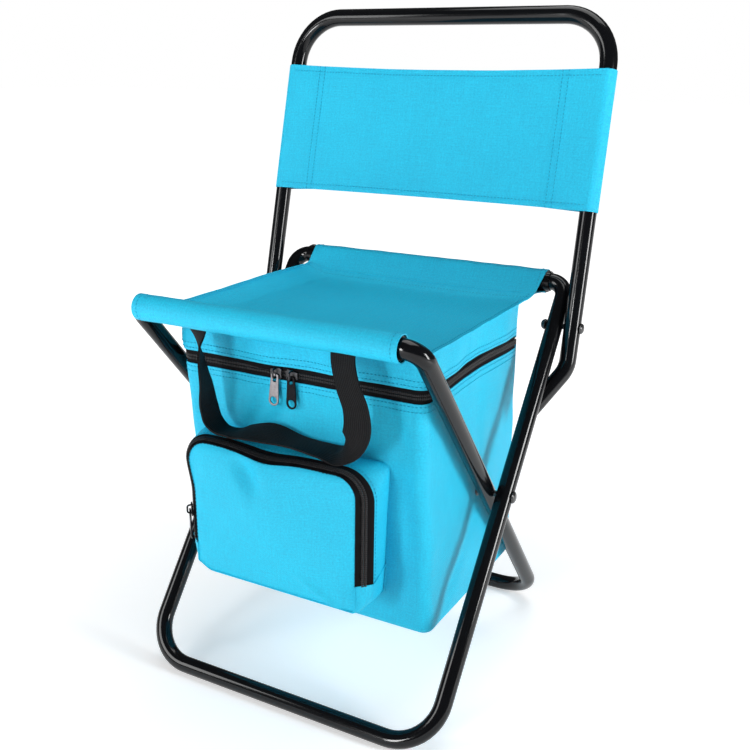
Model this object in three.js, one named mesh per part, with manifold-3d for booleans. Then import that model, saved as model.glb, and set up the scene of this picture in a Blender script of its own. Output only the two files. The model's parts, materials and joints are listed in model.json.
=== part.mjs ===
import * as THREE from "three";
import { mergeVertices } from "three/addons/utils/BufferGeometryUtils.js";
import Module from "manifold-3d";

// A folding chair with an insulated bag under its seat: two crossed tube frames, a fabric seat between
// their crossbars, a bag that hangs from the seat and a backrest that folds forward on two bolts.
// Millimetres, +Z up. The sitter looks along -Y. Left and right are as seen from the front, so +X is right.

// Tubes and the fits between them
const TUBE_DIAMETER = 16;
const TUBE_WALL = 1;
const TUBE_SIDES = 12;
const BEND_STEPS = 6;
const FIT_GAP = 0.3;
const SAME_POINT = 1e-3;
const LEG_CLEARANCE = 1;
const CROSSBAR_SLIP = 0.5;
const CROSSBAR_WALL = 1;
const CROSSBAR_OVERLAP = 16;

// Leg frames
const OUTER_LEG_SPAN = 300;
const FOOT_SPREAD = 302;
const SEAT_BAR_HEIGHT = 357;
const FRONT_BAR_REACH = 5;
const REAR_BAR_SETBACK = 28;
const FOOT_BEND_RADIUS = 42;
const SEAT_BEND_RADIUS = 15;

// Rivets, bolts and nuts
const PIVOT_RADIUS = 3;
const PIVOT_HEAD_RADIUS = 5.5;
const PIVOT_HEAD_HEIGHT = 2.6;
const PIVOT_TAIL_HEIGHT = 1.8;
const PIVOT_TAIL_FLAT_RADIUS = 3.85;
const BOLT_RADIUS = 2.5;
const BOLT_HEAD_RADIUS = 5;
const BOLT_HEAD_HEIGHT = 3;
const NUT_RADIUS = 5;
const NUT_HEIGHT = 5;
const NUT_BORE_DEPTH = 3.2;
const BAR_RIVET_RADIUS = 1.6;
const BAR_RIVET_HEAD_RADIUS = 3;
const BAR_RIVET_HEAD_HEIGHT = 1.3;
const ROUND_STEPS = 16;
const DOME_STEPS = 3;

// Backrest
const BOLT_DROP = 44;
const BACKREST_LENGTH = 277;
const BACKREST_LEAN_DEGREES = 13.2;
const BACKREST_TAPER = 5;
const BACKREST_BEND_RADIUS = 45;
const HOOK_DROP = 38;
const HOOK_BEND_RADIUS = 26;
const HOOK_SEAT = 71;
const HOOK_TIP = 10;
const PANEL_TOP_GAP = 3;
const PANEL_HEIGHT = 124;
const PANEL_THICKNESS = 1.2;

// Seat
const SLEEVE_WALL = 1.2;
const FRONT_SLEEVE_OVERRUN = 2.5;
const REAR_BAR_SHOWN = 8.5;
const SEAT_GAP = 0.4;
const SEAT_THICKNESS = 3;
const SEAT_SAG = 6;

// Bag
const BAG_SIDE_CLEARANCE = 5;
const BAG_FRONT_SETBACK = 39;
const BAG_REAR_SETBACK = 35;
const BAG_DROP = 278;
const BAG_FRONT_LEAN = 23;
const BAG_REAR_LEAN = 9;
const BAG_CORNER_RADIUS = 11;
const BAG_WALL = 1.6;
const FOAM_THICKNESS = 3.5;
const FOIL_THICKNESS = 0.8;
const LID_BOARD_THICKNESS = 4;
const CORNER_STEPS = 4;
const SHARPEST_CORNER = 1;

// Main zip
const ZIP_DROP = 50;
const ZIP_TAPE_HEIGHT = 6;
const ZIP_TAPE_THICKNESS = 1.4;
const ZIP_TAPE_RECESS = 0.6;
const ZIP_CENTRE_GAP = 0.4;
const SLIDER_LENGTH = 11;
const SLIDER_HEIGHT = 8.6;
const SLIDER_TAIL_HEIGHT = 6;
const SLIDER_PLATE = 2.2;
const SLIDER_SPACING = 16;
const SLIDER_OFFSET = -10;
const ARCH_WIDTH = 2.4;
const ARCH_HEIGHT = 8;
const ARCH_BAR = 1.6;
const ARCH_CLEAR = 3.4;
const PULL_LENGTH = 28;
const PULL_THICKNESS = 1.6;
const PULL_TOP_WIDTH = 7.4;
const PULL_END_RADIUS = 4.5;
const PULL_HOLE_RADIUS = 3;
const PULL_WINDOW_WIDTH = 4.4;
const PULL_WINDOW_LENGTH = 5.6;
const PULL_CROSSPIECE = 1.8;

// Front pocket
const POCKET_WIDTH = 186;
const POCKET_OFFSET = -5;
const POCKET_HEIGHT = 134;
const POCKET_RISE = 33;
const POCKET_DEPTH = 40;
const POCKET_TOP_RADIUS = 28;
const POCKET_FOOT_RADIUS = 8;
const POCKET_EDGE = 13;
const POCKET_WALL = 1.6;
const POCKET_LIP = 32;
const POCKET_COIL_SHARE = 0.6;
const POCKET_SLIDER_RISE = 30;

// Carry handle
const HANDLE_SPACING = 142;
const HANDLE_DROP = 96;
const WEBBING_WIDTH = 25;
const WEBBING_THICKNESS = 2;
const HANDLE_CORNER_RADIUS = 34;

const wasm = await Module();
wasm.setup();

// Side view points hold y and z. A frame of tubes is symmetric about x = 0.
const tubeRadius = TUBE_DIAMETER / 2;
const crossbarRadius = tubeRadius + CROSSBAR_SLIP + CROSSBAR_WALL;
const facetShare = Math.cos(Math.PI / TUBE_SIDES);
const sleeveInnerRadius = crossbarRadius + FIT_GAP / facetShare;
const sleeveRadius = sleeveInnerRadius + SLEEVE_WALL;
const outerHalf = OUTER_LEG_SPAN / 2;
const innerHalf = outerHalf - TUBE_DIAMETER - LEG_CLEARANCE;
const backrestHalf = outerHalf + TUBE_DIAMETER + LEG_CLEARANCE;
const footHeight = tubeRadius * facetShare;
const frontFoot = new THREE.Vector2(-FOOT_SPREAD / 2, footHeight);
const rearFoot = new THREE.Vector2(FOOT_SPREAD / 2, footHeight);
const frontBar = new THREE.Vector2(frontFoot.x - FRONT_BAR_REACH, SEAT_BAR_HEIGHT);
const rearBar = new THREE.Vector2(rearFoot.x - REAR_BAR_SETBACK, SEAT_BAR_HEIGHT);
const pivot = crossing(frontFoot, rearBar, rearFoot, frontBar);
const outerLegDown = frontFoot.clone().sub(rearBar).normalize();
const bolt = rearBar.clone().addScaledVector(outerLegDown, BOLT_DROP);
const lean = THREE.MathUtils.degToRad(BACKREST_LEAN_DEGREES);
const backrestUp = new THREE.Vector2(Math.sin(lean), Math.cos(lean));

// The bag hangs between the bars and between the inner legs.
const bagHalf = innerHalf - tubeRadius - BAG_SIDE_CLEARANCE;
const bagFront = frontBar.x + BAG_FRONT_SETBACK;
const bagRear = rearBar.x - BAG_REAR_SETBACK;
const bagBottom = SEAT_BAR_HEIGHT - BAG_DROP;
const zipHeight = SEAT_BAR_HEIGHT - ZIP_DROP;
const shellTop = zipHeight - ZIP_TAPE_HEIGHT - FIT_GAP;
const zipRearEnd = bagRear - BAG_CORNER_RADIUS;

// The pocket stands on the leaning front of the bag.
const pocketLeft = POCKET_OFFSET - POCKET_WIDTH / 2;
const pocketRight = POCKET_OFFSET + POCKET_WIDTH / 2;
const pocketBottom = bagBottom + POCKET_RISE;
const pocketTop = pocketBottom + POCKET_HEIGHT;
const pocketFront = bagFrontAt(pocketTop) - POCKET_DEPTH;
const pocketEdgeStart = pocketFront + POCKET_EDGE;
const pocketCoil = pocketFront + POCKET_EDGE * POCKET_COIL_SHARE;
const pocketZipEnd = pocketBottom + POCKET_LIP;

function crossing(a, b, c, d) {
  const along = b.clone().sub(a);
  const other = d.clone().sub(c);
  const share = c.clone().sub(a).cross(other) / along.cross(other);
  return a.clone().addScaledVector(along, share);
}

function bagFrontAt(height) {
  return bagFront + (BAG_FRONT_LEAN * (shellTop - height)) / (shellTop - bagBottom);
}

function bagRearAt(height) {
  return bagRear + (BAG_REAR_LEAN * (shellTop - height)) / (shellTop - bagBottom);
}

function inSpace(x, sidePoint) {
  return new THREE.Vector3(x, sidePoint.x, sidePoint.y);
}

// Merges shared vertices and drops the triangles that collapse where a profile meets its axis.
function closed(geometry) {
  const plain = new THREE.BufferGeometry();
  plain.setAttribute("position", geometry.getAttribute("position"));
  plain.setIndex(geometry.getIndex());
  const merged = mergeVertices(plain, SAME_POINT);
  const corners = merged.getIndex().array;
  const kept = [];
  for (let i = 0; i < corners.length; i += 3) {
    const [a, b, c] = corners.subarray(i, i + 3);
    if (a !== b && b !== c && c !== a) kept.push(a, b, c);
  }
  merged.setIndex(kept);
  return merged;
}

function toSolid(geometry) {
  const mesh = closed(geometry);
  const vertProperties = new Float32Array(mesh.getAttribute("position").array);
  const triVerts = new Uint32Array(mesh.getIndex().array);
  return new wasm.Manifold(new wasm.Mesh({ numProp: 3, vertProperties, triVerts }));
}

function toGeometry(solid) {
  const mesh = solid.getMesh();
  const geometry = new THREE.BufferGeometry();
  geometry.setAttribute("position", new THREE.BufferAttribute(mesh.vertProperties, 3));
  geometry.setIndex(new THREE.BufferAttribute(mesh.triVerts, 1));
  return geometry;
}

function cut(geometry, ...tools) {
  let solid = toSolid(geometry);
  for (const tool of tools) solid = solid.subtract(toSolid(tool));
  return toGeometry(solid);
}

function join(geometry, ...others) {
  let solid = toSolid(geometry);
  for (const other of others) solid = solid.add(toSolid(other));
  return toGeometry(solid);
}

function common(geometry, tool) {
  return toGeometry(toSolid(geometry).intersect(toSolid(tool)));
}

// A path of straight runs and round bends. Straight runs take one step, so only the bends are fine.
class BentPath extends THREE.Curve {
  constructor(corners) {
    super();
    this.stations = [];
    const last = corners.length - 1;
    corners.forEach(({ at, bend }, i) => {
      const before = corners[Math.max(i - 1, 0)].at;
      const after = corners[Math.min(i + 1, last)].at;
      const arriving = at.clone().sub(before).normalize();
      const leaving = after.clone().sub(at).normalize();
      if (i === 0) this.stations.push({ point: at, tangent: leaving });
      else if (i === last) this.stations.push({ point: at, tangent: arriving });
      else this.addBend(at, arriving, leaving, bend);
    });
  }

  addBend(corner, arriving, leaving, radius) {
    const turn = arriving.angleTo(leaving);
    const start = corner.clone().addScaledVector(arriving, -radius * Math.tan(turn / 2));
    const inward = leaving.clone().addScaledVector(arriving, -Math.cos(turn)).normalize();
    const centre = start.clone().addScaledVector(inward, radius);
    for (let step = 0; step <= BEND_STEPS; step++) {
      const angle = (turn * step) / BEND_STEPS;
      const point = centre.clone();
      point.addScaledVector(inward, -radius * Math.cos(angle));
      point.addScaledVector(arriving, radius * Math.sin(angle));
      const tangent = arriving.clone().multiplyScalar(Math.cos(angle));
      tangent.addScaledVector(inward, Math.sin(angle));
      this.stations.push({ point, tangent });
    }
  }

  stationAt(share) {
    return this.stations[Math.round(share * (this.stations.length - 1))];
  }

  getPointAt(share, target = new THREE.Vector3()) {
    return target.copy(this.stationAt(share).point);
  }

  getTangentAt(share, target = new THREE.Vector3()) {
    return target.copy(this.stationAt(share).tangent);
  }
}

function polygonPoints(radius, turn = 0, centre = new THREE.Vector2()) {
  return Array.from({ length: TUBE_SIDES }, (_, i) => {
    const angle = turn + ((i + 0.5) * 2 * Math.PI) / TUBE_SIDES;
    return new THREE.Vector2(Math.cos(angle), Math.sin(angle)).multiplyScalar(radius).add(centre);
  });
}

function ringShape(radius, innerRadius, turn, centre) {
  const shape = new THREE.Shape(polygonPoints(radius, turn, centre));
  if (innerRadius > 0) shape.holes.push(new THREE.Path(polygonPoints(innerRadius, turn, centre)));
  return shape;
}

function sweep(shape, corners) {
  const path = new BentPath(corners);
  const steps = path.stations.length - 1;
  return closed(new THREE.ExtrudeGeometry(shape, { steps, extrudePath: path, curveSegments: 1 }));
}

function bentTube(corners, turn = 0) {
  return sweep(ringShape(tubeRadius, tubeRadius - TUBE_WALL, turn), corners);
}

function rod(from, to, radius) {
  return sweep(ringShape(radius, 0), [{ at: from }, { at: to }]);
}

function extrude(shape, depth, curveSegments = CORNER_STEPS) {
  return new THREE.ExtrudeGeometry(shape, { depth, bevelEnabled: false, curveSegments });
}

// A side view shape, drawn in y and z, extruded along x about the middle plane.
function acrossX(shape, width) {
  const geometry = extrude(shape, width).translate(0, 0, -width / 2);
  const basis = new THREE.Matrix4().makeBasis(
    new THREE.Vector3(0, 1, 0),
    new THREE.Vector3(0, 0, 1),
    new THREE.Vector3(1, 0, 0),
  );
  return geometry.applyMatrix4(basis);
}

// A front view shape, drawn in x and z, extruded forward from the given y.
function forward(shape, y, depth) {
  return extrude(shape, depth).rotateX(Math.PI / 2).translate(0, y, 0);
}

function block(xRange, yRange, zRange) {
  const size = [xRange, yRange, zRange].map(([low, high]) => high - low);
  const middle = [xRange, yRange, zRange].map(([low, high]) => (low + high) / 2);
  return new THREE.BoxGeometry(...size).translate(...middle);
}

// Skins a row of closed convex loops that all have the same number of points.
function loft(loops) {
  const count = loops[0].length;
  const positions = loops.flat().flatMap((point) => point.toArray());
  const index = [];
  for (let ring = 0; ring + 1 < loops.length; ring++) {
    for (let i = 0; i < count; i++) {
      const a = ring * count + i;
      const b = ring * count + ((i + 1) % count);
      index.push(a, b, b + count, a, b + count, a + count);
    }
  }
  const top = (loops.length - 1) * count;
  for (let i = 1; i + 1 < count; i++) {
    index.push(0, i + 1, i);
    index.push(top, top + i, top + i + 1);
  }
  const geometry = new THREE.BufferGeometry();
  geometry.setAttribute("position", new THREE.Float32BufferAttribute(positions, 3));
  geometry.setIndex(index);
  return geometry;
}

// A rectangle with its own radius at the low and the high corners, counter-clockwise from low right.
function roundedLoop(low, high, lowRadius, highRadius) {
  const corners = [
    { x: high.x - lowRadius, y: low.y + lowRadius, radius: lowRadius, start: -Math.PI / 2 },
    { x: high.x - highRadius, y: high.y - highRadius, radius: highRadius, start: 0 },
    { x: low.x + highRadius, y: high.y - highRadius, radius: highRadius, start: Math.PI / 2 },
    { x: low.x + lowRadius, y: low.y + lowRadius, radius: lowRadius, start: Math.PI },
  ];
  return corners.flatMap(({ x, y, radius, start }) =>
    Array.from({ length: CORNER_STEPS + 1 }, (_, step) => {
      const angle = start + ((Math.PI / 2) * step) / CORNER_STEPS;
      return new THREE.Vector2(x + radius * Math.cos(angle), y + radius * Math.sin(angle));
    }),
  );
}

// A solid of revolution about x. The profile holds points of radius and x, from end to end of the axis.
function revolve(profile) {
  const points = profile.map(([radius, along]) => new THREE.Vector2(radius, along));
  return closed(new THREE.LatheGeometry(points, ROUND_STEPS).rotateZ(-Math.PI / 2));
}

function domeProfile(radius, height, base) {
  return Array.from({ length: DOME_STEPS + 1 }, (_, i) => {
    const angle = (i / DOME_STEPS) * (Math.PI / 2);
    return [i === DOME_STEPS ? 0 : radius * Math.cos(angle), base + height * Math.sin(angle)];
  });
}

function holeAcrossX(sidePoint, radius, length) {
  const geometry = new THREE.CylinderGeometry(radius, radius, length, ROUND_STEPS);
  return geometry.rotateZ(Math.PI / 2).translate(0, sidePoint.x, sidePoint.y);
}

const finishes = {
  steel: { color: 0x0b0c0e, roughness: 0.25, metalness: 0.5 },
  fabric: { color: 0x1eb5dd, roughness: 0.8, metalness: 0 },
  webbing: { color: 0x131316, roughness: 0.85, metalness: 0 },
  gunmetal: { color: 0x4a4a50, roughness: 0.35, metalness: 0.9 },
  foam: { color: 0xe8e8e4, roughness: 0.9, metalness: 0 },
  foil: { color: 0xc8ccd0, roughness: 0.3, metalness: 0.8 },
};

function piece(name, geometry, finish) {
  const mesh = new THREE.Mesh(geometry, new THREE.MeshStandardMaterial(finishes[finish]));
  mesh.name = name;
  return mesh;
}

const sides = [
  { name: "left", sign: -1 },
  { name: "right", sign: 1 },
];

// Leg frames: a foot bar, two legs and two ends bent inward, which slip into a crossbar.
function legFrame(half, foot, bar) {
  const endX = half - SEAT_BEND_RADIUS - CROSSBAR_OVERLAP;
  const slope = Math.atan2(bar.x - foot.x, bar.y - foot.y);
  const corners = [
    { at: inSpace(-endX, bar) },
    { at: inSpace(-half, bar), bend: SEAT_BEND_RADIUS },
    { at: inSpace(-half, foot), bend: FOOT_BEND_RADIUS },
    { at: inSpace(half, foot), bend: FOOT_BEND_RADIUS },
    { at: inSpace(half, bar), bend: SEAT_BEND_RADIUS },
    { at: inSpace(endX, bar) },
  ];
  return bentTube(corners, 2 * slope);
}

function crossbarHalf(half) {
  return half - SEAT_BEND_RADIUS - FIT_GAP;
}

const rearRivetX = crossbarHalf(outerHalf) - REAR_BAR_SHOWN / 2;

function barRivetHole(sign) {
  const radius = BAR_RIVET_RADIUS + FIT_GAP;
  const hole = new THREE.CylinderGeometry(radius, radius, 4 * crossbarRadius, ROUND_STEPS);
  return hole.rotateX(Math.PI / 2).translate(sign * rearRivetX, rearBar.x, rearBar.y);
}

function frontLegFrame() {
  return cut(
    legFrame(outerHalf, frontFoot, rearBar),
    holeAcrossX(pivot, PIVOT_RADIUS + FIT_GAP, 2 * OUTER_LEG_SPAN),
    holeAcrossX(bolt, BOLT_RADIUS + FIT_GAP, 2 * OUTER_LEG_SPAN),
    barRivetHole(-1),
    barRivetHole(1),
  );
}

function rearLegFrame() {
  const hole = holeAcrossX(pivot, PIVOT_RADIUS + FIT_GAP, 2 * OUTER_LEG_SPAN);
  return cut(legFrame(innerHalf, rearFoot, frontBar), hole);
}

function crossbar(half, bar) {
  const shape = ringShape(crossbarRadius, crossbarRadius - CROSSBAR_WALL, 0, bar);
  return acrossX(shape, 2 * crossbarHalf(half));
}

function barRivet(sign) {
  const seat = crossbarRadius * facetShare + FIT_GAP / 2;
  const head = domeProfile(BAR_RIVET_HEAD_RADIUS, BAR_RIVET_HEAD_HEIGHT, seat);
  const tail = head.map(([radius, along]) => [radius, -along]).reverse();
  const rivet = revolve([...tail, [BAR_RIVET_RADIUS, -seat], [BAR_RIVET_RADIUS, seat], ...head]);
  return rivet.rotateY(-Math.PI / 2).translate(sign * rearRivetX, rearBar.x, rearBar.y);
}

// The pivot rivet holds an inner and an outer leg together. Its low head lies between leg and bag.
function pivotRivet(sign) {
  const inner = innerHalf - tubeRadius - FIT_GAP / 2;
  const outer = outerHalf + tubeRadius + FIT_GAP / 2;
  const profile = [
    [0, inner - PIVOT_TAIL_HEIGHT],
    [PIVOT_TAIL_FLAT_RADIUS, inner - PIVOT_TAIL_HEIGHT],
    [PIVOT_HEAD_RADIUS, inner - PIVOT_TAIL_HEIGHT / 2],
    [PIVOT_HEAD_RADIUS, inner],
    [PIVOT_RADIUS, inner],
    [PIVOT_RADIUS, outer],
    ...domeProfile(PIVOT_HEAD_RADIUS, PIVOT_HEAD_HEIGHT, outer),
  ];
  const rivet = revolve(profile);
  if (sign < 0) rivet.rotateZ(Math.PI);
  return rivet.translate(0, pivot.x, pivot.y);
}

const nutSeat = outerHalf - tubeRadius - FIT_GAP / 2;

function backrestBolt(sign) {
  const outer = backrestHalf + tubeRadius + FIT_GAP / 2;
  const tip = nutSeat - NUT_BORE_DEPTH + FIT_GAP;
  const profile = [
    [0, tip],
    [BOLT_RADIUS, tip],
    [BOLT_RADIUS, outer],
    ...domeProfile(BOLT_HEAD_RADIUS, BOLT_HEAD_HEIGHT, outer),
  ];
  const made = revolve(profile);
  if (sign < 0) made.rotateZ(Math.PI);
  return made.translate(0, bolt.x, bolt.y);
}

function backrestNut(sign) {
  const bore = BOLT_RADIUS + FIT_GAP;
  const wall = NUT_HEIGHT - NUT_BORE_DEPTH;
  const base = nutSeat - NUT_BORE_DEPTH;
  const dome = domeProfile(NUT_RADIUS, wall, 0).map(([radius, along]) => [radius, base - along]);
  const profile = [...dome.reverse(), [NUT_RADIUS, nutSeat], [bore, nutSeat], [bore, base], [0, base]];
  const made = revolve(profile);
  if (sign < 0) made.rotateZ(Math.PI);
  return made.translate(0, bolt.x, bolt.y);
}

// Backrest: the tube runs down past the bolts, then hooks inward behind the outer legs, which stop it.
function backrestPoint(sign, along) {
  const half = backrestHalf - (BACKREST_TAPER * along) / BACKREST_LENGTH;
  return inSpace(sign * half, bolt.clone().addScaledVector(backrestUp, along));
}

function hookTip(sign) {
  const behindLeg = new THREE.Vector2(-outerLegDown.y, outerLegDown.x);
  const seat = bolt.clone().addScaledVector(outerLegDown, HOOK_SEAT);
  seat.addScaledVector(behindLeg, TUBE_DIAMETER + FIT_GAP);
  const crossingPoint = inSpace(sign * outerHalf, seat);
  const direction = crossingPoint.clone().sub(backrestPoint(sign, -HOOK_DROP)).normalize();
  return crossingPoint.addScaledVector(direction, HOOK_TIP);
}

function backrestFrame() {
  const corners = [
    { at: hookTip(-1) },
    { at: backrestPoint(-1, -HOOK_DROP), bend: HOOK_BEND_RADIUS },
    { at: backrestPoint(-1, BACKREST_LENGTH), bend: BACKREST_BEND_RADIUS },
    { at: backrestPoint(1, BACKREST_LENGTH), bend: BACKREST_BEND_RADIUS },
    { at: backrestPoint(1, -HOOK_DROP), bend: HOOK_BEND_RADIUS },
    { at: hookTip(1) },
  ];
  const hole = holeAcrossX(bolt, BOLT_RADIUS + FIT_GAP, 4 * backrestHalf);
  return cut(bentTube(corners), hole);
}

// The panel is stretched over the front of the tubes and closes round each of them as a sleeve.
function backrestPanel() {
  const top = BACKREST_LENGTH - BACKREST_BEND_RADIUS - PANEL_TOP_GAP;
  const bottom = top - PANEL_HEIGHT;
  const bore = tubeRadius + FIT_GAP / facetShare;
  const wrap = bore + PANEL_THICKNESS;
  const front = new THREE.Vector2(-backrestUp.y, backrestUp.x);
  const edge = (sign, along, offset) =>
    backrestPoint(sign, along).add(inSpace(0, front.clone().multiplyScalar(offset)));
  const loops = [bottom, top].map((along) => [
    edge(1, along, wrap * facetShare - PANEL_THICKNESS),
    edge(-1, along, wrap * facetShare - PANEL_THICKNESS),
    edge(-1, along, wrap * facetShare),
    edge(1, along, wrap * facetShare),
  ]);
  const sleeves = sides.map(({ sign }) => rod(backrestPoint(sign, bottom), backrestPoint(sign, top), wrap));
  const beyond = BACKREST_BEND_RADIUS;
  const bores = sides.map(({ sign }) =>
    rod(backrestPoint(sign, bottom - beyond), backrestPoint(sign, top + beyond), bore),
  );
  return cut(join(loft(loops), ...sleeves), ...bores);
}

// Seat: a sleeve round each crossbar, and a panel that hangs between them just inside their folding arcs.
function seatSleeve(bar, halfLength) {
  return acrossX(ringShape(sleeveRadius, sleeveInnerRadius, 0, bar), 2 * halfLength);
}

function seatEdge(bar) {
  const out = bar.clone().sub(pivot);
  return pivot.clone().add(out.setLength(out.length() - sleeveRadius - SEAT_GAP));
}

const seatFrontEdge = seatEdge(frontBar);
const seatRearEdge = seatEdge(rearBar);
const seatLow = Math.min(seatFrontEdge.y, seatRearEdge.y) - SEAT_SAG;

function seatCurve(shape, drop, thenDown) {
  const frontBend = (seatFrontEdge.x + bagFront) / 2;
  const rearBend = (seatRearEdge.x + bagRear) / 2;
  shape.moveTo(seatFrontEdge.x, seatFrontEdge.y - drop);
  shape.quadraticCurveTo(frontBend, seatLow - drop, bagFront, seatLow - drop);
  shape.lineTo(bagRear, seatLow - drop);
  shape.quadraticCurveTo(rearBend, seatLow - drop, seatRearEdge.x, seatRearEdge.y - drop);
  shape.lineTo(seatRearEdge.x, seatRearEdge.y - thenDown);
  return shape;
}

function seatPanel() {
  const shape = seatCurve(new THREE.Shape(), 0, SEAT_THICKNESS);
  const rearBend = (seatRearEdge.x + bagRear) / 2;
  const frontBend = (seatFrontEdge.x + bagFront) / 2;
  const low = seatLow - SEAT_THICKNESS;
  shape.quadraticCurveTo(rearBend, low, bagRear, low);
  shape.lineTo(bagFront, low);
  shape.quadraticCurveTo(frontBend, low, seatFrontEdge.x, seatFrontEdge.y - SEAT_THICKNESS);
  return acrossX(shape, 2 * bagHalf);
}

// Bag: an outer shell, foam and foil nested in it, and a lid band under the seat above the zip.
function bagLoop(inset, front, rear, height) {
  const low = new THREE.Vector2(-bagHalf + inset, front + inset);
  const high = new THREE.Vector2(bagHalf - inset, rear - inset);
  const radius = Math.max(BAG_CORNER_RADIUS - inset, SHARPEST_CORNER);
  return roundedLoop(low, high, radius, radius).map(({ x, y }) => new THREE.Vector3(x, y, height));
}

function bagHull(inset, bottom, top) {
  const loops = [bottom, top].map((height) => bagLoop(inset, bagFrontAt(height), bagRearAt(height), height));
  return loft(loops);
}

function bagBand(inset, bottom, top) {
  return loft([bottom, top].map((height) => bagLoop(inset, bagFront, bagRear, height)));
}

function tub(inset, wall, top) {
  const floor = bagBottom + inset;
  return cut(bagHull(inset, floor, top), bagHull(inset + wall, floor + wall, top + wall));
}

// The front and sides of the bag next to the zip, which stops at the rear corners.
function zipZone(low, high) {
  return block([-2 * bagHalf, 2 * bagHalf], [2 * bagFront, zipRearEnd], [low, high]);
}

function bagShell() {
  const tall = tub(0, BAG_WALL, zipHeight - ZIP_CENTRE_GAP / 2);
  return cut(tall, zipZone(shellTop, zipHeight));
}

function bagFoam() {
  return tub(BAG_WALL + FIT_GAP, FOAM_THICKNESS, shellTop - FIT_GAP);
}

function bagFoil() {
  return tub(BAG_WALL + FOAM_THICKNESS + 2 * FIT_GAP, FOIL_THICKNESS, shellTop - FIT_GAP);
}

function lidBand() {
  const low = zipHeight + ZIP_CENTRE_GAP / 2;
  const ring = cut(
    bagBand(0, low, SEAT_BAR_HEIGHT),
    bagBand(BAG_WALL, low - BAG_WALL, SEAT_BAR_HEIGHT + BAG_WALL),
    zipZone(zipHeight, zipHeight + ZIP_TAPE_HEIGHT + FIT_GAP),
  );
  const above = seatCurve(new THREE.Shape(), SEAT_THICKNESS + FIT_GAP, -SEAT_BAR_HEIGHT);
  above.lineTo(seatFrontEdge.x, seatFrontEdge.y + SEAT_BAR_HEIGHT);
  return cut(ring, acrossX(above, 4 * bagHalf));
}

function lidBoard() {
  const top = seatLow - SEAT_THICKNESS - FIT_GAP;
  return bagBand(BAG_WALL + FIT_GAP, top - LID_BOARD_THICKNESS, top);
}

function zipTape(low) {
  const high = low + ZIP_TAPE_HEIGHT - ZIP_CENTRE_GAP / 2;
  const ring = cut(
    bagBand(ZIP_TAPE_RECESS, low, high),
    bagBand(ZIP_TAPE_RECESS + ZIP_TAPE_THICKNESS, low - ZIP_TAPE_HEIGHT, high + ZIP_TAPE_HEIGHT),
  );
  const rear = block([-2 * bagHalf, 2 * bagHalf], [zipRearEnd - FIT_GAP, 2 * bagRear], [0, SEAT_BAR_HEIGHT]);
  return cut(ring, rear);
}

// Sliders lie on the coil. The arch holds the crosspiece of a pull, which hangs through its own window.
const pullDrop = ARCH_HEIGHT / 2 - ARCH_BAR - PULL_CROSSPIECE / 2 - FIT_GAP;

function slider(upright) {
  const half = SLIDER_LENGTH / 2;
  const outline = new THREE.Shape([
    new THREE.Vector2(-half, -SLIDER_TAIL_HEIGHT / 2),
    new THREE.Vector2(0, -SLIDER_HEIGHT / 2),
    new THREE.Vector2(half, -SLIDER_HEIGHT / 2),
    new THREE.Vector2(half, SLIDER_HEIGHT / 2),
    new THREE.Vector2(0, SLIDER_HEIGHT / 2),
    new THREE.Vector2(-half, SLIDER_TAIL_HEIGHT / 2),
  ]);
  const plate = forward(outline, 0, SLIDER_PLATE);
  if (upright) plate.rotateY(-Math.PI / 2);
  const reach = SLIDER_PLATE + ARCH_CLEAR + ARCH_BAR;
  const archLow = -ARCH_HEIGHT / 2;
  const arch = cut(
    block([-ARCH_WIDTH / 2, ARCH_WIDTH / 2], [-reach, -SLIDER_PLATE / 2], [archLow, -archLow]),
    block(
      [-ARCH_WIDTH, ARCH_WIDTH],
      [-SLIDER_PLATE - ARCH_CLEAR, 0],
      [archLow + ARCH_BAR, -archLow - ARCH_BAR],
    ),
  );
  return join(plate, arch);
}

function pull() {
  const topHalf = PULL_TOP_WIDTH / 2;
  const crest = PULL_CROSSPIECE / 2;
  const endCentre = crest - PULL_LENGTH + PULL_END_RADIUS;
  const shape = new THREE.Shape();
  shape.moveTo(topHalf, crest);
  shape.lineTo(-topHalf, crest);
  shape.lineTo(-PULL_END_RADIUS, endCentre);
  shape.absarc(0, endCentre, PULL_END_RADIUS, Math.PI, 2 * Math.PI, false);
  shape.lineTo(topHalf, crest);
  const windowHalf = PULL_WINDOW_WIDTH / 2;
  const windowPoints = [
    new THREE.Vector2(-windowHalf, -crest),
    new THREE.Vector2(windowHalf, -crest),
    new THREE.Vector2(windowHalf, -crest - PULL_WINDOW_LENGTH),
    new THREE.Vector2(-windowHalf, -crest - PULL_WINDOW_LENGTH),
  ];
  const hole = new THREE.Path().absarc(0, endCentre, PULL_HOLE_RADIUS, 0, 2 * Math.PI, true);
  shape.holes.push(new THREE.Path(windowPoints), hole);
  return forward(shape, PULL_THICKNESS / 2, PULL_THICKNESS);
}

const pullForward = SLIDER_PLATE + ARCH_CLEAR / 2;

function zipSlider(name, upright) {
  const group = new THREE.Group();
  const tab = piece(`${name}_pull`, pull(), "gunmetal");
  tab.position.set(0, -pullForward, -pullDrop);
  group.add(piece(`${name}_slider`, slider(upright), "gunmetal"), tab);
  return group;
}

function mainSlider({ name, sign }) {
  const group = zipSlider(`main_zip_${name}`, false);
  const y = bagFront + ZIP_TAPE_RECESS - FIT_GAP;
  group.position.set(SLIDER_OFFSET + (sign * SLIDER_SPACING) / 2, y, zipHeight);
  return group;
}

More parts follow.
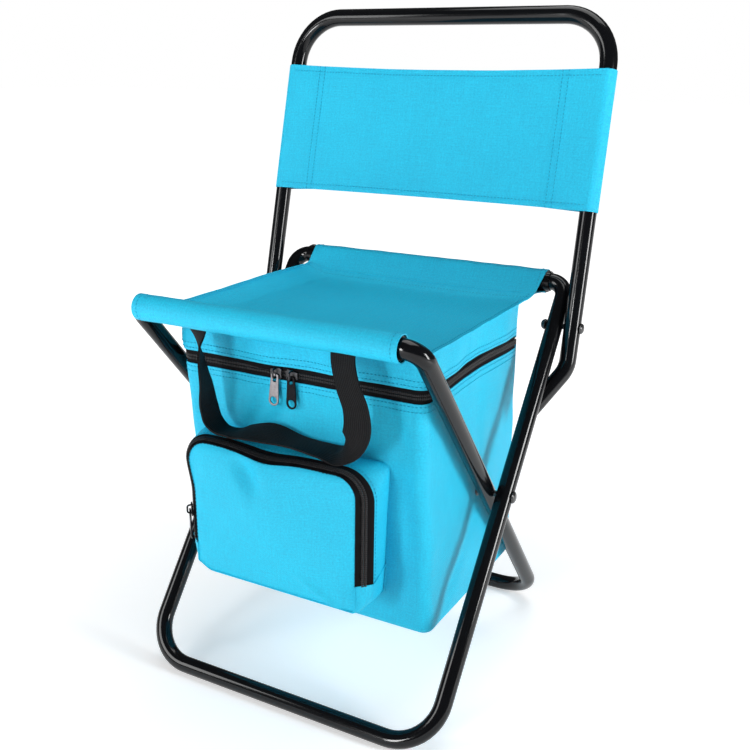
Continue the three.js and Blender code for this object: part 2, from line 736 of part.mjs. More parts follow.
// Pocket: a gusset with a lower lip, and a flap that opens along a zip on its slanted front edge.
function pocketLoop(inset, radiusLoss, y) {
  const low = new THREE.Vector2(pocketLeft + inset, pocketBottom + inset);
  const high = new THREE.Vector2(pocketRight - inset, pocketTop - inset);
  const footRadius = Math.max(POCKET_FOOT_RADIUS - radiusLoss, SHARPEST_CORNER);
  const topRadius = Math.max(POCKET_TOP_RADIUS - radiusLoss, SHARPEST_CORNER);
  return roundedLoop(low, high, footRadius, topRadius).map(({ x, y: z }) => new THREE.Vector3(x, y, z));
}

function pocketHull(wall) {
  const slant = wall * Math.tan(Math.PI / 8);
  return loft([
    pocketLoop(wall, wall, bagFront + 2 * BAG_FRONT_LEAN),
    pocketLoop(wall, wall, pocketEdgeStart + slant),
    pocketLoop(POCKET_EDGE + slant, POCKET_EDGE, pocketFront + wall),
  ]);
}

const pocketShell = cut(pocketHull(0), pocketHull(POCKET_WALL), bagHull(-FIT_GAP, bagBottom, shellTop));

function pocketZone(yFrom, yTo, low) {
  return block([2 * pocketLeft, 2 * pocketRight], [yFrom, yTo], [low, 2 * pocketTop]);
}

function pocketGusset() {
  return cut(pocketShell, pocketZone(2 * pocketFront, pocketEdgeStart, pocketZipEnd));
}

function pocketZipOuter() {
  const low = pocketZipEnd + FIT_GAP;
  return common(pocketShell, pocketZone(pocketCoil + FIT_GAP / 2, pocketEdgeStart - FIT_GAP, low));
}

function pocketZipInner() {
  const low = pocketZipEnd + FIT_GAP;
  const front = pocketFront + POCKET_WALL + FIT_GAP;
  return common(pocketShell, pocketZone(front, pocketCoil - FIT_GAP / 2, low));
}

function pocketFlap() {
  const low = pocketZipEnd + FIT_GAP;
  return common(pocketShell, pocketZone(2 * pocketFront, pocketFront + POCKET_WALL, low));
}

function pocketSlider() {
  const group = zipSlider("pocket_zip", true);
  const coilX = pocketLeft + POCKET_EDGE * (1 - POCKET_COIL_SHARE);
  const out = FIT_GAP * Math.SQRT1_2;
  group.position.set(coilX - out, pocketCoil - out, pocketZipEnd + POCKET_SLIDER_RISE);
  group.rotation.z = -Math.PI / 4;
  return group;
}

// Carry handle: a webbing loop sewn in at the seam below the front seat sleeve.
function carryHandle() {
  const outer = (HANDLE_SPACING + WEBBING_WIDTH) / 2;
  const inner = outer - WEBBING_WIDTH;
  const top = seatFrontEdge.y - SEAT_THICKNESS - FIT_GAP;
  const low = top - HANDLE_DROP;
  const innerRadius = HANDLE_CORNER_RADIUS - WEBBING_WIDTH;
  const centreX = outer - HANDLE_CORNER_RADIUS;
  const centreZ = low + HANDLE_CORNER_RADIUS;
  const shape = new THREE.Shape();
  shape.moveTo(-outer, top);
  shape.lineTo(-outer, centreZ);
  shape.absarc(-centreX, centreZ, HANDLE_CORNER_RADIUS, Math.PI, 1.5 * Math.PI, false);
  shape.absarc(centreX, centreZ, HANDLE_CORNER_RADIUS, 1.5 * Math.PI, 2 * Math.PI, false);
  shape.lineTo(outer, top);
  shape.lineTo(inner, top);
  shape.absarc(centreX, centreZ, innerRadius, 2 * Math.PI, 1.5 * Math.PI, true);
  shape.absarc(-centreX, centreZ, innerRadius, 1.5 * Math.PI, Math.PI, true);
  shape.lineTo(-inner, top);
  return forward(shape, seatFrontEdge.x - FIT_GAP, WEBBING_THICKNESS);
}

const outerFrame = new THREE.Group();
outerFrame.add(
  piece("front_leg_frame", frontLegFrame(), "steel"),
  piece("rear_crossbar", cut(crossbar(outerHalf, rearBar), barRivetHole(-1), barRivetHole(1)), "steel"),
  piece("seat_rear_sleeve", seatSleeve(rearBar, crossbarHalf(outerHalf) - REAR_BAR_SHOWN), "fabric"),
);
for (const { name, sign } of sides) {
  outerFrame.add(
    piece(`rear_crossbar_rivet_${name}`, barRivet(sign), "steel"),
    piece(`pivot_rivet_${name}`, pivotRivet(sign), "steel"),
    piece(`backrest_bolt_${name}`, backrestBolt(sign), "steel"),
    piece(`backrest_nut_${name}`, backrestNut(sign), "steel"),
  );
}

const innerFrame = new THREE.Group();
innerFrame.add(
  piece("rear_leg_frame", rearLegFrame(), "steel"),
  piece("front_crossbar", crossbar(innerHalf, frontBar), "steel"),
  piece("seat_front_sleeve", seatSleeve(frontBar, crossbarHalf(innerHalf) + FRONT_SLEEVE_OVERRUN), "fabric"),
);

const backrest = new THREE.Group();
backrest.add(
  piece("backrest_frame", backrestFrame(), "steel"),
  piece("backrest_panel", backrestPanel(), "fabric"),
);

const bagLid = new THREE.Group();
bagLid.add(
  piece("seat_panel", seatPanel(), "fabric"),
  piece("lid_band", lidBand(), "fabric"),
  piece("lid_board", lidBoard(), "foil"),
  piece("main_zip_upper_tape", zipTape(zipHeight + ZIP_CENTRE_GAP / 2), "webbing"),
  piece("carry_handle", carryHandle(), "webbing"),
);

const bag = new THREE.Group();
bag.add(
  piece("bag_shell", bagShell(), "fabric"),
  piece("bag_foam", bagFoam(), "foam"),
  piece("bag_foil", bagFoil(), "foil"),
  piece("main_zip_lower_tape", zipTape(zipHeight - ZIP_TAPE_HEIGHT), "webbing"),
  ...sides.map(mainSlider),
);

const pocket = new THREE.Group();
pocket.add(
  piece("pocket_gusset", pocketGusset(), "fabric"),
  piece("pocket_zip_outer_tape", pocketZipOuter(), "webbing"),
  piece("pocket_zip_inner_tape", pocketZipInner(), "webbing"),
  piece("pocket_flap", pocketFlap(), "fabric"),
  pocketSlider(),
);
bag.add(pocket);

// The origin is the middle of the base.
const chair = new THREE.Group();
chair.add(outerFrame, innerFrame, backrest, bagLid, bag);
const bounds = new THREE.Box3().setFromObject(chair);
chair.position.set(0, -(bounds.min.y + bounds.max.y) / 2, -bounds.min.z);

export default chair;
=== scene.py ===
import json
import math

import bmesh
import bpy
import numpy as np
from mathutils import Matrix, Vector, noise


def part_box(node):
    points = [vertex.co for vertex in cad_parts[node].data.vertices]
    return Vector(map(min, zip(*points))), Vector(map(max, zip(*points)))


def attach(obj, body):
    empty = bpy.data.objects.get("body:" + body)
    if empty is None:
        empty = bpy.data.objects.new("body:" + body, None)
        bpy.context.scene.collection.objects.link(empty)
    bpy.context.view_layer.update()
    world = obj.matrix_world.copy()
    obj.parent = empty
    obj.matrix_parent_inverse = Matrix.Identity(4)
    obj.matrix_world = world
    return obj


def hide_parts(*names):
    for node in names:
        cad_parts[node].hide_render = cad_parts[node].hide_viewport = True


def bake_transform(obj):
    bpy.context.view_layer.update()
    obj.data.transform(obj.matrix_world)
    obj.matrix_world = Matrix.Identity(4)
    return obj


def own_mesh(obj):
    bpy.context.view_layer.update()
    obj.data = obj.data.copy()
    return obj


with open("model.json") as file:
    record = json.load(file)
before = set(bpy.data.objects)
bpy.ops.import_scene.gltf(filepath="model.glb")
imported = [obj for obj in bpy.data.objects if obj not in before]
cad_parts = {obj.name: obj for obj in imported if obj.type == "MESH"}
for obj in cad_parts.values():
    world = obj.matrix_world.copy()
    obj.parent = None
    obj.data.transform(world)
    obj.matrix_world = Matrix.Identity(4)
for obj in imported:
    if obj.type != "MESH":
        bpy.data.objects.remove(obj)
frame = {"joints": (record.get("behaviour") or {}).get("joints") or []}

scene = bpy.context.scene
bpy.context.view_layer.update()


# Studio: a pale matt floor before a white backdrop, lit by soft boxes in front, on the
# left, on the right and above. The camera stands where the photograph's did.
AZIMUTH, ELEVATION, ROLL = (math.radians(angle) for angle in (29.07, 20.85, 0.543))
AIM = Vector((0.00031, -0.00514, 0.22052))
CAMERA_DISTANCE = 0.92883
FLOOR_HALF, FLOOR_DROP, FLOOR_GLOW = 15, 0.0002, 0.39
ROOM_LIGHT, BACKDROP = 0.08, 1.0

back = Vector((
    math.sin(AZIMUTH) * math.cos(ELEVATION),
    -math.cos(AZIMUTH) * math.cos(ELEVATION),
    math.sin(ELEVATION),
))
level = Vector((math.cos(AZIMUTH), math.sin(AZIMUTH), 0))
upright = back.cross(level)
right = math.cos(ROLL) * level + math.sin(ROLL) * upright
camera_data = bpy.data.cameras.new("photo_camera")
camera_data.lens = 46.66
camera_data.sensor_width = 36
camera_data.shift_x = 0.0189
camera_data.shift_y = 0.0752
camera_data.clip_start = 0.05
camera = bpy.data.objects.new("photo_camera", camera_data)
camera.matrix_world = Matrix.Translation(AIM + CAMERA_DISTANCE * back) @ Matrix(
    (right, back.cross(right), back)
).transposed().to_4x4()
scene.collection.objects.link(camera)
scene.camera = camera
scene.view_settings.view_transform = "Standard"


def soft_box(name, towards, width, height, strength):
    """A soft box that faces the chair: its place from the chair, its size, and its light at the chair."""
    data = bpy.data.lights.new(name, "AREA")
    data.shape = "RECTANGLE"
    data.size, data.size_y = width, height
    data.energy = strength * math.pi * Vector(towards).length_squared
    lamp = bpy.data.objects.new(name, data)
    lamp.location = AIM + Vector(towards)
    lamp.rotation_euler = Vector(towards).to_track_quat("Z", "Y").to_euler()
    scene.collection.objects.link(lamp)


soft_box("front_light", (-0.55, -2.7, 0.42), 0.40, 0.8, 1.35)
soft_box("left_light", (-1.1, -1.25, 0.55), 0.6, 0.8, 1.15)
soft_box("right_light", (1.5, 0.0, 0.35), 0.3, 0.7, 2.3)
soft_box("top_light", (0.1, 0.3, 1.7), 1.2, 1.2, 1.6)


def feed(tree, socket, value):
    """Links a socket of a node to another one, or gives it a plain value."""
    source = getattr(value, "socket", value)
    if isinstance(source, bpy.types.NodeSocket):
        tree.links.new(source, socket)
    else:
        socket.default_value = source


def add_node(tree, kind, settings=None, sockets=None):
    """Adds a node to a tree, sets it up and feeds it, and gives its outputs."""
    made = tree.nodes.new(kind)
    for key, value in (settings or {}).items():
        setattr(made, key, value)
    for key, value in (sockets or {}).items():
        feed(tree, made.inputs[key], value)
    return made.outputs


world = bpy.data.worlds.new("white_room")
world.use_nodes = True
room = world.node_tree
room.nodes.clear()
glow, backdrop = (
    add_node(room, "ShaderNodeBackground", sockets={"Color": (1, 1, 1, 1), "Strength": strength})[0]
    for strength in (ROOM_LIGHT, BACKDROP)
)
seen = add_node(room, "ShaderNodeLightPath")["Is Camera Ray"]
lit = add_node(room, "ShaderNodeMixShader", sockets={"Fac": seen, 1: glow, 2: backdrop})
add_node(room, "ShaderNodeOutputWorld", sockets={"Surface": lit[0]})
scene.world = world


class Value:
    """A socket of a finish, for maths written as an expression."""

    def __init__(self, finish, socket):
        self.finish = finish
        self.socket = socket

    def maths(self, operation, *values):
        return self.finish.node("ShaderNodeMath", {"operation": operation}, dict(enumerate(values)))

    def __add__(self, other):
        return self.maths("ADD", self, other)

    __radd__ = __add__

    def __sub__(self, other):
        return self.maths("SUBTRACT", self, other)

    def __rsub__(self, other):
        return self.maths("SUBTRACT", other, self)

    def __mul__(self, other):
        return self.maths("MULTIPLY", self, other)

    __rmul__ = __mul__

    def __gt__(self, other):
        return self.maths("GREATER_THAN", self, other)

    def sine(self):
        return self.maths("SINE", self)

    def size(self):
        return self.maths("ABSOLUTE", self)


class Finish:
    """One material: a Principled shader with its constants, and the nodes that feed it."""

    def __init__(self, name, constants):
        self.material = bpy.data.materials.new(name)
        self.material.use_nodes = True
        self.tree = self.material.node_tree
        self.shader = self.tree.nodes["Principled BSDF"]
        for key, value in constants.items():
            self.shader.inputs[key].default_value = value

    def node(self, kind, settings=None, sockets=None, output=0):
        return Value(self, add_node(self.tree, kind, settings, sockets)[output])

    def place(self):
        return self.node("ShaderNodeTexCoord", output="Object")

    def along(self, vector, axis):
        return self.node("ShaderNodeSeparateXYZ", sockets={0: vector}, output=axis)

    def stretched(self, vector, scale):
        return self.node("ShaderNodeMapping", sockets={"Vector": vector, "Scale": scale})

    def speckle(self, vector, scale, detail=3.0, roughness=0.55):
        return self.node("ShaderNodeTexNoise", sockets={
            "Vector": vector, "Scale": scale, "Detail": detail, "Roughness": roughness,
        })

    def mix(self, share, first, second):
        sockets = {0: share, 6: (*first, 1), 7: (*second, 1)}
        return self.node("ShaderNodeMix", {"data_type": "RGBA"}, sockets, 2)

    def bump(self, height, depth, strength):
        sockets = {"Height": height, "Distance": depth, "Strength": strength}
        return self.node("ShaderNodeBump", sockets=sockets)

    def done(self, sockets):
        for key, value in sockets.items():
            feed(self.tree, self.shader.inputs[key], value)
        return self.material


floor_paint = Finish("floor_paint", {"Specular IOR Level": 0.2, "Emission Strength": 1.0})
cloud = floor_paint.speckle(floor_paint.place(), 1.3)
away = floor_paint.node("ShaderNodeVectorMath", {"operation": "LENGTH"}, {0: floor_paint.place()}, 1)
floor_mesh = bpy.data.meshes.new("floor")
floor_mesh.from_pydata(
    [(x * FLOOR_HALF, y * FLOOR_HALF, -FLOOR_DROP) for x, y in ((-1, -1), (1, -1), (1, 1), (-1, 1))],
    [], [(0, 1, 2, 3)],
)
floor_mesh.materials.append(floor_paint.done({
    "Base Color": floor_paint.mix(cloud, (0.88, 0.88, 0.88), (0.92, 0.92, 0.92)),
    "Roughness": 0.55 + 0.1 * cloud,
    "Emission Color": floor_paint.mix(0.9 * away - 0.25, (FLOOR_GLOW,) * 3, (1, 1, 1)),
}))
floor = bpy.data.objects.new("floor", floor_mesh)
scene.collection.objects.link(floor)


# Tube frames: two U-shaped leg frames and the backrest hoop, bent from 16 mm steel tube with a
# 1 mm wall and powder coated gloss black. The legs cross on rivets, and the hoop hooks behind them.
TUBE_RADIUS = 0.0079
TUBE_WALL = 0.001
hinges = {joint["name"]: joint["pos_m"][1:] for joint in frame["joints"] if joint["type"] == "hinge"}
PIVOT, BOLT = hinges["frame_fold"], hinges["backrest_fold"]
rear_bar_box, front_bar_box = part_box("rear_crossbar"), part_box("front_crossbar")
REAR_BAR, FRONT_BAR = (tuple((low.yz + high.yz) / 2) for low, high in (rear_bar_box, front_bar_box))
FRONT_FOOT, REAR_FOOT = (-0.151198, 0.007727), (0.150802, 0.007727)
OUTER_HALF, INNER_HALF, BACKREST_HALF = 0.150, 0.133, 0.167
OUTER_END, INNER_END = 0.119, 0.102
SEAT_BEND, FOOT_BEND = 0.015, 0.042
BACKREST_UP = (0.22835, 0.97358)
BACKREST_LENGTH, BACKREST_TAPER, BACKREST_BEND = 0.277, 0.005, 0.045
HOOK_DROP, HOOK_BEND = 0.038, 0.026
HOOK_SEAT, HOOK_BEHIND, HOOK_TIP = 0.071, 0.0163, 0.010
LEG_DOWN = (-0.61722, -0.78678)

gloss_black = Finish("gloss_black", {"Coat Roughness": 0.04, "Coat Weight": 0.1, "Specular IOR Level": 0.25})
peel = gloss_black.speckle(gloss_black.place(), 420, 2.0)
handling = gloss_black.speckle(gloss_black.place(), 26, 5.0)
gloss_black.done({
    "Base Color": gloss_black.mix(handling, (0.002, 0.0022, 0.0028), (0.004, 0.0044, 0.0055)),
    "Roughness": 0.07 + 0.12 * handling,
    "Normal": gloss_black.bump(peel, 0.00003, 0.3),
})


class Tree:
    """A geometry node tree with named inputs, which ends in a plain mesh with its material."""

    def __init__(self, name, inputs):
        self.group = bpy.data.node_groups.new(name, "GeometryNodeTree")
        sockets = self.group.interface
        sockets.new_socket("Geometry", in_out="OUTPUT", socket_type="NodeSocketGeometry")
        for label, kind in {"Geometry": "Geometry", **inputs, "Material": "Material"}.items():
            sockets.new_socket(label, in_out="INPUT", socket_type="NodeSocket" + kind)
        self.inputs = self.group.nodes.new("NodeGroupInput").outputs

    def node(self, kind, settings=None, sockets=None):
        return add_node(self.group, kind, settings, sockets)

    def done(self, geometry):
        real = self.node("GeometryNodeRealizeInstances", sockets={0: geometry})
        smooth = self.node("GeometryNodeSetShadeSmooth", sockets={0: real[0]})
        dressed = self.node("GeometryNodeSetMaterial", sockets={
            0: smooth[0], "Material": self.inputs["Material"],
        })
        self.node("NodeGroupOutput", sockets={0: dressed[0]})
        return self.group


def final_mesh(obj):
    bpy.context.view_layer.update()
    return bpy.data.meshes.new_from_object(obj.evaluated_get(bpy.context.evaluated_depsgraph_get()))


def settle(obj):
    """Makes an object's modifiers part of its mesh."""
    mesh = final_mesh(obj)
    obj.modifiers.clear()
    obj.data = mesh
    return obj


def placed(name, mesh):
    obj = bpy.data.objects.new(name, mesh)
    scene.collection.objects.link(obj)
    return obj


def grown(name, mesh, tree, values):
    """Runs a node tree on a mesh of guide points and keeps what it makes."""
    obj = placed(name, mesh)
    modifier = obj.modifiers.new("grow", "NODES")
    modifier.node_group = tree
    for item in tree.interface.items_tree:
        if item.in_out == "INPUT" and item.name in values:
            modifier[item.identifier] = values[item.name]
    return settle(obj)


def guide(name, runs, **per_point):
    """A mesh of open runs of points for a tree to follow, with a number or vector for each point."""
    mesh = bpy.data.meshes.new(name)
    points, edges = [], []
    for run in runs:
        edges += [(len(points) + i, len(points) + i + 1) for i in range(len(run) - 1)]
        points += [tuple(point) for point in run]
    mesh.from_pydata(points, edges, [])
    for key, values in per_point.items():
        flat = np.asarray(values, dtype=float)
        kind, field = ("FLOAT", "value") if flat.ndim == 1 else ("FLOAT_VECTOR", "vector")
        mesh.attributes.new(key, kind, "POINT").data.foreach_set(field, flat.ravel())
    return mesh


def walled(obj, thickness, offset=-1.0):
    """Gives an open shell its thickness, on the inside unless an offset says otherwise."""
    modifier = obj.modifiers.new("wall", "SOLIDIFY")
    modifier.thickness = thickness
    modifier.offset = offset
    settle(obj).data.set_sharp_from_angle(angle=math.radians(50))
    return obj


def turned_out(mesh):
    """Turns the faces of a shell outwards."""
    if sum(face.center.dot(face.normal) * face.area for face in mesh.polygons) < 0:
        mesh.flip_normals()


bent_tube = Tree("bent_tube", {"Radius": "Float", "Sides": "Int", "Bend Steps": "Int"})
bend = bent_tube.node("GeometryNodeInputNamedAttribute", {"data_type": "FLOAT"}, {"Name": "bend"})
path = bent_tube.node("GeometryNodeMeshToCurve", sockets={"Mesh": bent_tube.inputs["Geometry"]})
rounded = bent_tube.node("GeometryNodeFilletCurve", {"mode": "POLY"}, {
    "Curve": path["Curve"], "Radius": bend["Attribute"], "Count": bent_tube.inputs["Bend Steps"],
})
circle = bent_tube.node("GeometryNodeCurvePrimitiveCircle", {"mode": "RADIUS"}, {
    "Resolution": bent_tube.inputs["Sides"], "Radius": bent_tube.inputs["Radius"],
})
skin = bent_tube.node("GeometryNodeCurveToMesh", sockets={
    "Curve": rounded["Curve"], "Profile Curve": circle["Curve"],
})
bent_tube = bent_tube.done(skin["Mesh"])


def fixed(obj, slot, body, *nodes):
    """Gives a piece its body, and hides the CAD nodes that it stands for. The slot is not used."""
    if nodes:
        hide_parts(*nodes)
    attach(obj, body)


def tube_frame(name, side, body):
    """A frame bent from one tube, from the corners of its right half and their bends."""
    points, bends = zip(*side, *[((-x, y, z), radius) for (x, y, z), radius in reversed(side)])
    obj = grown(name, guide(name, [points], bend=bends), bent_tube, {
        "Radius": TUBE_RADIUS, "Sides": 28, "Bend Steps": 14, "Material": gloss_black.material,
    })
    turned_out(obj.data)
    walled(obj, TUBE_WALL)
    fixed(obj, "black_tube", body, name)


def backrest_point(along):
    half = BACKREST_HALF - BACKREST_TAPER * along / BACKREST_LENGTH
    return Vector((half, BOLT[0] + BACKREST_UP[0] * along, BOLT[1] + BACKREST_UP[1] * along))


for name, half, end, bar, foot, body in (
    ("front_leg_frame", OUTER_HALF, OUTER_END, REAR_BAR, FRONT_FOOT, "outer_frame"),
    ("rear_leg_frame", INNER_HALF, INNER_END, FRONT_BAR, REAR_FOOT, "inner_frame"),
):
    tube_frame(name, [((end, *bar), 0), ((half, *bar), SEAT_BEND), ((half, *foot), FOOT_BEND)], body)
hook_bend = backrest_point(-HOOK_DROP)
hook_seat = Vector((
    OUTER_HALF,
    BOLT[0] + LEG_DOWN[0] * HOOK_SEAT - LEG_DOWN[1] * HOOK_BEHIND,
    BOLT[1] + LEG_DOWN[1] * HOOK_SEAT + LEG_DOWN[0] * HOOK_BEHIND,
))
hook_tip = hook_seat + HOOK_TIP * (hook_seat - hook_bend).normalized()
hoop_side = [(hook_tip, 0), (hook_bend, HOOK_BEND), (backrest_point(BACKREST_LENGTH), BACKREST_BEND)]
tube_frame("backrest_frame", hoop_side, "backrest")


# Crossbars: two straight 19 mm tubes that slip over the leg ends and carry the seat. Their ends are
# rolled over, and the rear one is riveted through; both have the frame's black coat.
CROSSBAR_RADIUS, CROSSBAR_BORE = 0.0095, 0.0084
CROSSBAR_LIP, CROSSBAR_ROUND = 0.0007, 0.0002


def grid_mesh(name, grid, uv=None, ring=False):
    """A mesh from rows of points, with its cloth laid out in metres where uv is given."""
    rows, columns = grid.shape[:2]
    row, column = np.meshgrid(np.arange(rows - 1), np.arange(columns - (not ring)), indexing="ij")
    beside = (column + 1) % columns
    here, below = row * columns, (row + 1) * columns
    corners = [here + column, here + beside, below + beside, below + column]
    mesh = bpy.data.meshes.new(name)
    mesh.from_pydata(grid.reshape(-1, 3).tolist(), [], np.stack(corners, -1).reshape(-1, 4).tolist())
    if uv is not None:
        at = [uv[row, column], uv[row, column + 1], uv[row + 1, column + 1], uv[row + 1, column]]
        mesh.uv_layers.new(name="weave").data.foreach_set("uv", np.stack(at, 2).ravel())
    mesh.shade_smooth()
    return mesh


def merged(mesh):
    """Closes the seams and poles of a mesh and turns it outwards."""
    work = bmesh.new()
    work.from_mesh(mesh)
    bmesh.ops.remove_doubles(work, verts=work.verts, dist=1e-6)
    bmesh.ops.recalc_face_normals(work, faces=work.faces)
    work.to_mesh(mesh)
    work.free()
    return mesh


def turned(name, profile, steps):
    """A shape turned on a lathe about x, from pairs of place along x and radius."""
    along, radius = (np.array(part)[:, None] for part in zip(*profile))
    angle = np.linspace(0, 2 * np.pi, steps, endpoint=False)[None, :]
    grid = np.stack(np.broadcast_arrays(along, radius * np.cos(angle), radius * np.sin(angle)), -1)
    return merged(grid_mesh(name, grid, ring=True))


def crossbar(name, half, bar, body):
    inside = [(half, CROSSBAR_BORE), (-half, CROSSBAR_BORE)]
    rolled = (half - CROSSBAR_ROUND, CROSSBAR_RADIUS - CROSSBAR_ROUND)
    lip = [(half - CROSSBAR_LIP, CROSSBAR_RADIUS), rolled, inside[0]]
    mesh = turned(name, inside + [(-x, r) for x, r in reversed(lip[:2])] + lip, 48)
    mesh.transform(Matrix.Translation((0, *bar)))
    mesh.materials.append(gloss_black.material)
    fixed(placed(name, mesh), "black_tube", body, name)


crossbar("rear_crossbar", rear_bar_box[1].x, REAR_BAR, "outer_frame")
crossbar("front_crossbar", front_bar_box[1].x, FRONT_BAR, "inner_frame")


# Rivets, bolts and nuts: domed steel heads with a turned collar, blackened by the coat and polished
# bright by handling on top. Each set is one turned shape put down at its holes.
CROSSBAR_RIVET_X, CROSSBAR_RIVET_SEAT = 0.13045, 0.0093


def speckled(name, constants, grain, colours, roughness, bumps=None):
    """A material whose colour, roughness and bumps all follow one fine speckle."""
    finish = Finish(name, constants)
    speck = finish.speckle(finish.place(), *grain)
    sockets = {"Base Color": finish.mix(speck, *colours), "Roughness": roughness[0] + roughness[1] * speck}
    if bumps:
        sockets["Normal"] = finish.bump(speck, *bumps)
    return finish.done(sockets)


worn_steel = speckled(
    "worn_steel", {"Metallic": 0.55, "Coat Weight": 0.4, "Coat Roughness": 0.12}, grain=(700, 4.0),
    colours=((0.012, 0.012, 0.013), (0.06, 0.06, 0.062)), roughness=(0.18, 0.2), bumps=(0.00004, 0.4),
)

fasteners = Tree("fasteners", {"Shape": "Object"})
turn = fasteners.node("GeometryNodeInputNamedAttribute", {"data_type": "FLOAT_VECTOR"}, {"Name": "turn"})
shape = fasteners.node("GeometryNodeObjectInfo", {"transform_space": "ORIGINAL"}, {
    "Object": fasteners.inputs["Shape"],
})
spots = fasteners.node("GeometryNodeMeshToPoints", sockets={"Mesh": fasteners.inputs["Geometry"]})
put = fasteners.node("GeometryNodeInstanceOnPoints", sockets={
    "Points": spots["Points"], "Instance": shape["Geometry"], "Rotation": turn["Attribute"],
})
fasteners = fasteners.done(put["Instances"])


def dome(base, radius, height, sign=1):
    """A low domed head with a small collar, as a lathe profile that ends on the axis."""
    collar, shoulder = 0.18, 0.97
    return [(base, radius), (base + sign * collar * height, radius)] + [
        (base + sign * height * (collar + (1 - collar) * math.sin(a)), radius * shoulder * math.cos(a))
        for a in np.linspace(0, math.pi / 2, 7)
    ]


def set_fasteners(name, node, profile, spots, turns):
    """A pair of like fasteners of the front leg frame, from a lathe profile, places and turns."""
    pattern = placed(name + "_pattern", turned(name + "_pattern", profile, 24))
    obj = grown(name, guide(name, [[spot] for spot in spots], turn=turns), fasteners, {
        "Shape": pattern, "Material": worn_steel,
    })
    bpy.data.objects.remove(pattern)
    fixed(obj, "black_rivet", "outer_frame", node + "_left", node + "_right")


pivot_shank = [
    (0.12305, 0), (0.12305, 0.00385), (0.1237, 0.0052), (0.12485, 0.0054), (0.12485, 0.003), (0.15815, 0.003),
]
bolt_shank = [(0.13895, 0), (0.13895, 0.0025), (0.17515, 0.0025)]
nut_rim = [(0.14185, 0.0028), (0.14185, 0.0046)]
for name, node, spot, profile in (
    ("pivot_rivets", "pivot_rivet", PIVOT, pivot_shank + dome(0.15815, 0.0055, 0.0026)),
    ("backrest_bolts", "backrest_bolt", BOLT, bolt_shank + dome(0.17515, 0.005, 0.003)),
    ("backrest_nuts", "backrest_nut", BOLT, nut_rim + dome(0.1416, 0.005, 0.00475, -1)[1:]),
):
    set_fasteners(name, node, profile, [(0, *spot)] * 2, [(0, 0, 0), (0, 0, math.pi)])
small_head = dome(CROSSBAR_RIVET_SEAT, 0.003, 0.0013)
small_shank = [(-CROSSBAR_RIVET_SEAT, 0.0016), (CROSSBAR_RIVET_SEAT, 0.0016)]
set_fasteners(
    "crossbar_rivets", "rear_crossbar_rivet",
    [(-x, r) for x, r in reversed(small_head)] + small_shank + small_head,
    [(x, *REAR_BAR) for x in (-CROSSBAR_RIVET_X, CROSSBAR_RIVET_X)], [(0, math.pi / 2, 0)] * 2,
)


# Backrest panel: one strip of cyan woven polyester, stretched over the front of the hoop, taken
# round both tubes and sewn to its own back with two rows. Its long edges are turned and sewn.
PANEL_LOW, PANEL_HIGH = 0.105, 0.229
PANEL_WRAP = 0.0089
PANEL_WALL = 0.001
PANEL_HOLLOW, PANEL_WAVE = 0.0009, 0.0011
SLEEVE_TIP, SLEEVE_RUN = (0.041, 0.0066), (0.0387, 0.0151)
SLEEVE_STITCHES = (0.033, 0.039)
HEM_RISE, HEM_DIP = 0.0010, 0.0034
HEM_STITCH = 0.0055
STITCH_PITCH, STITCH, SEAM_LIFT = 0.0034, (0.0026, 0.0009, 0.0009), 0.0002
THREAD_PITCH = 0.00095
CYAN_LIGHT, CYAN_DARK = (0.010, 0.57, 0.80), (0.0003, 0.34, 0.57)


cyan = Finish("cyan_fabric", {"Specular IOR Level": 0.35})
layout = cyan.node("ShaderNodeUVMap", {"uv_map": "weave"})
warp = (cyan.along(layout, "X") * (math.pi / THREAD_PITCH)).sine()
weft = (cyan.along(layout, "Y") * (math.pi / THREAD_PITCH)).sine()
over = warp * weft > 0.0
weave = over * warp.size() + (1.0 - over) * weft.size()
slub = cyan.speckle(cyan.stretched(layout, (900, 45, 1)), 1.0, 2.0)
pick = cyan.speckle(cyan.stretched(layout, (45, 900, 1)), 1.0, 2.0)
grain = cyan.speckle(layout, 620, 3.0, 0.7)
broad = cyan.speckle(cyan.place(), 11.0, 4.0)
# The colour mixes random thread tone with painted shade: the weave's height, also used for the bumps, darkens
# the hollows between threads.
shade = 0.6 * slub + 0.6 * pick + 1.6 * grain + 0.3 * broad + 0.6 * weave - 1.4
cyan_fabric = cyan.done({
    "Base Color": cyan.mix(shade, CYAN_DARK, CYAN_LIGHT),
    "Roughness": 0.45 + 0.2 * pick,
    "Normal": cyan.bump(weave + 0.5 * slub + 1.4 * grain, 0.0002, 0.8),
})


def arc_length(grid, axis):
    step = np.linalg.norm(np.diff(grid, axis=axis), axis=-1)
    start = np.zeros_like(np.take(step, [0], axis=axis))
    return np.concatenate([start, np.cumsum(step, axis=axis)], axis=axis)


def cloth_mesh(name, grid, ring=False):
    """A mesh from rows of points, laid out for the weave by its own lengths."""
    closed = np.concatenate([grid, grid[:, :1]], axis=1) if ring else grid
    return grid_mesh(name, grid, np.stack([arc_length(closed, 1), arc_length(closed, 0)], -1), ring)


def cloth_piece(name, rows, material, wall, facing=None, ring=False, offset=-1.0):
    """A sheet of cloth from rows of points, with its thickness behind them or, at offset 0, about them."""
    mesh = cloth_mesh(name, np.array(rows), ring)
    if facing is None:
        turned_out(mesh)
    elif sum(face.normal.dot(Vector(facing)) * face.area for face in mesh.polygons) < 0:
        mesh.flip_normals()
    mesh.materials.append(material)
    return walled(placed(name, mesh), wall, offset)


sewing_thread = speckled(
    "sewing_thread", {"Specular IOR Level": 0.3}, grain=(1800, 2.0),
    colours=((0.003, 0.26, 0.44), (0.008, 0.38, 0.58)), roughness=(0.5, 0.2),
)


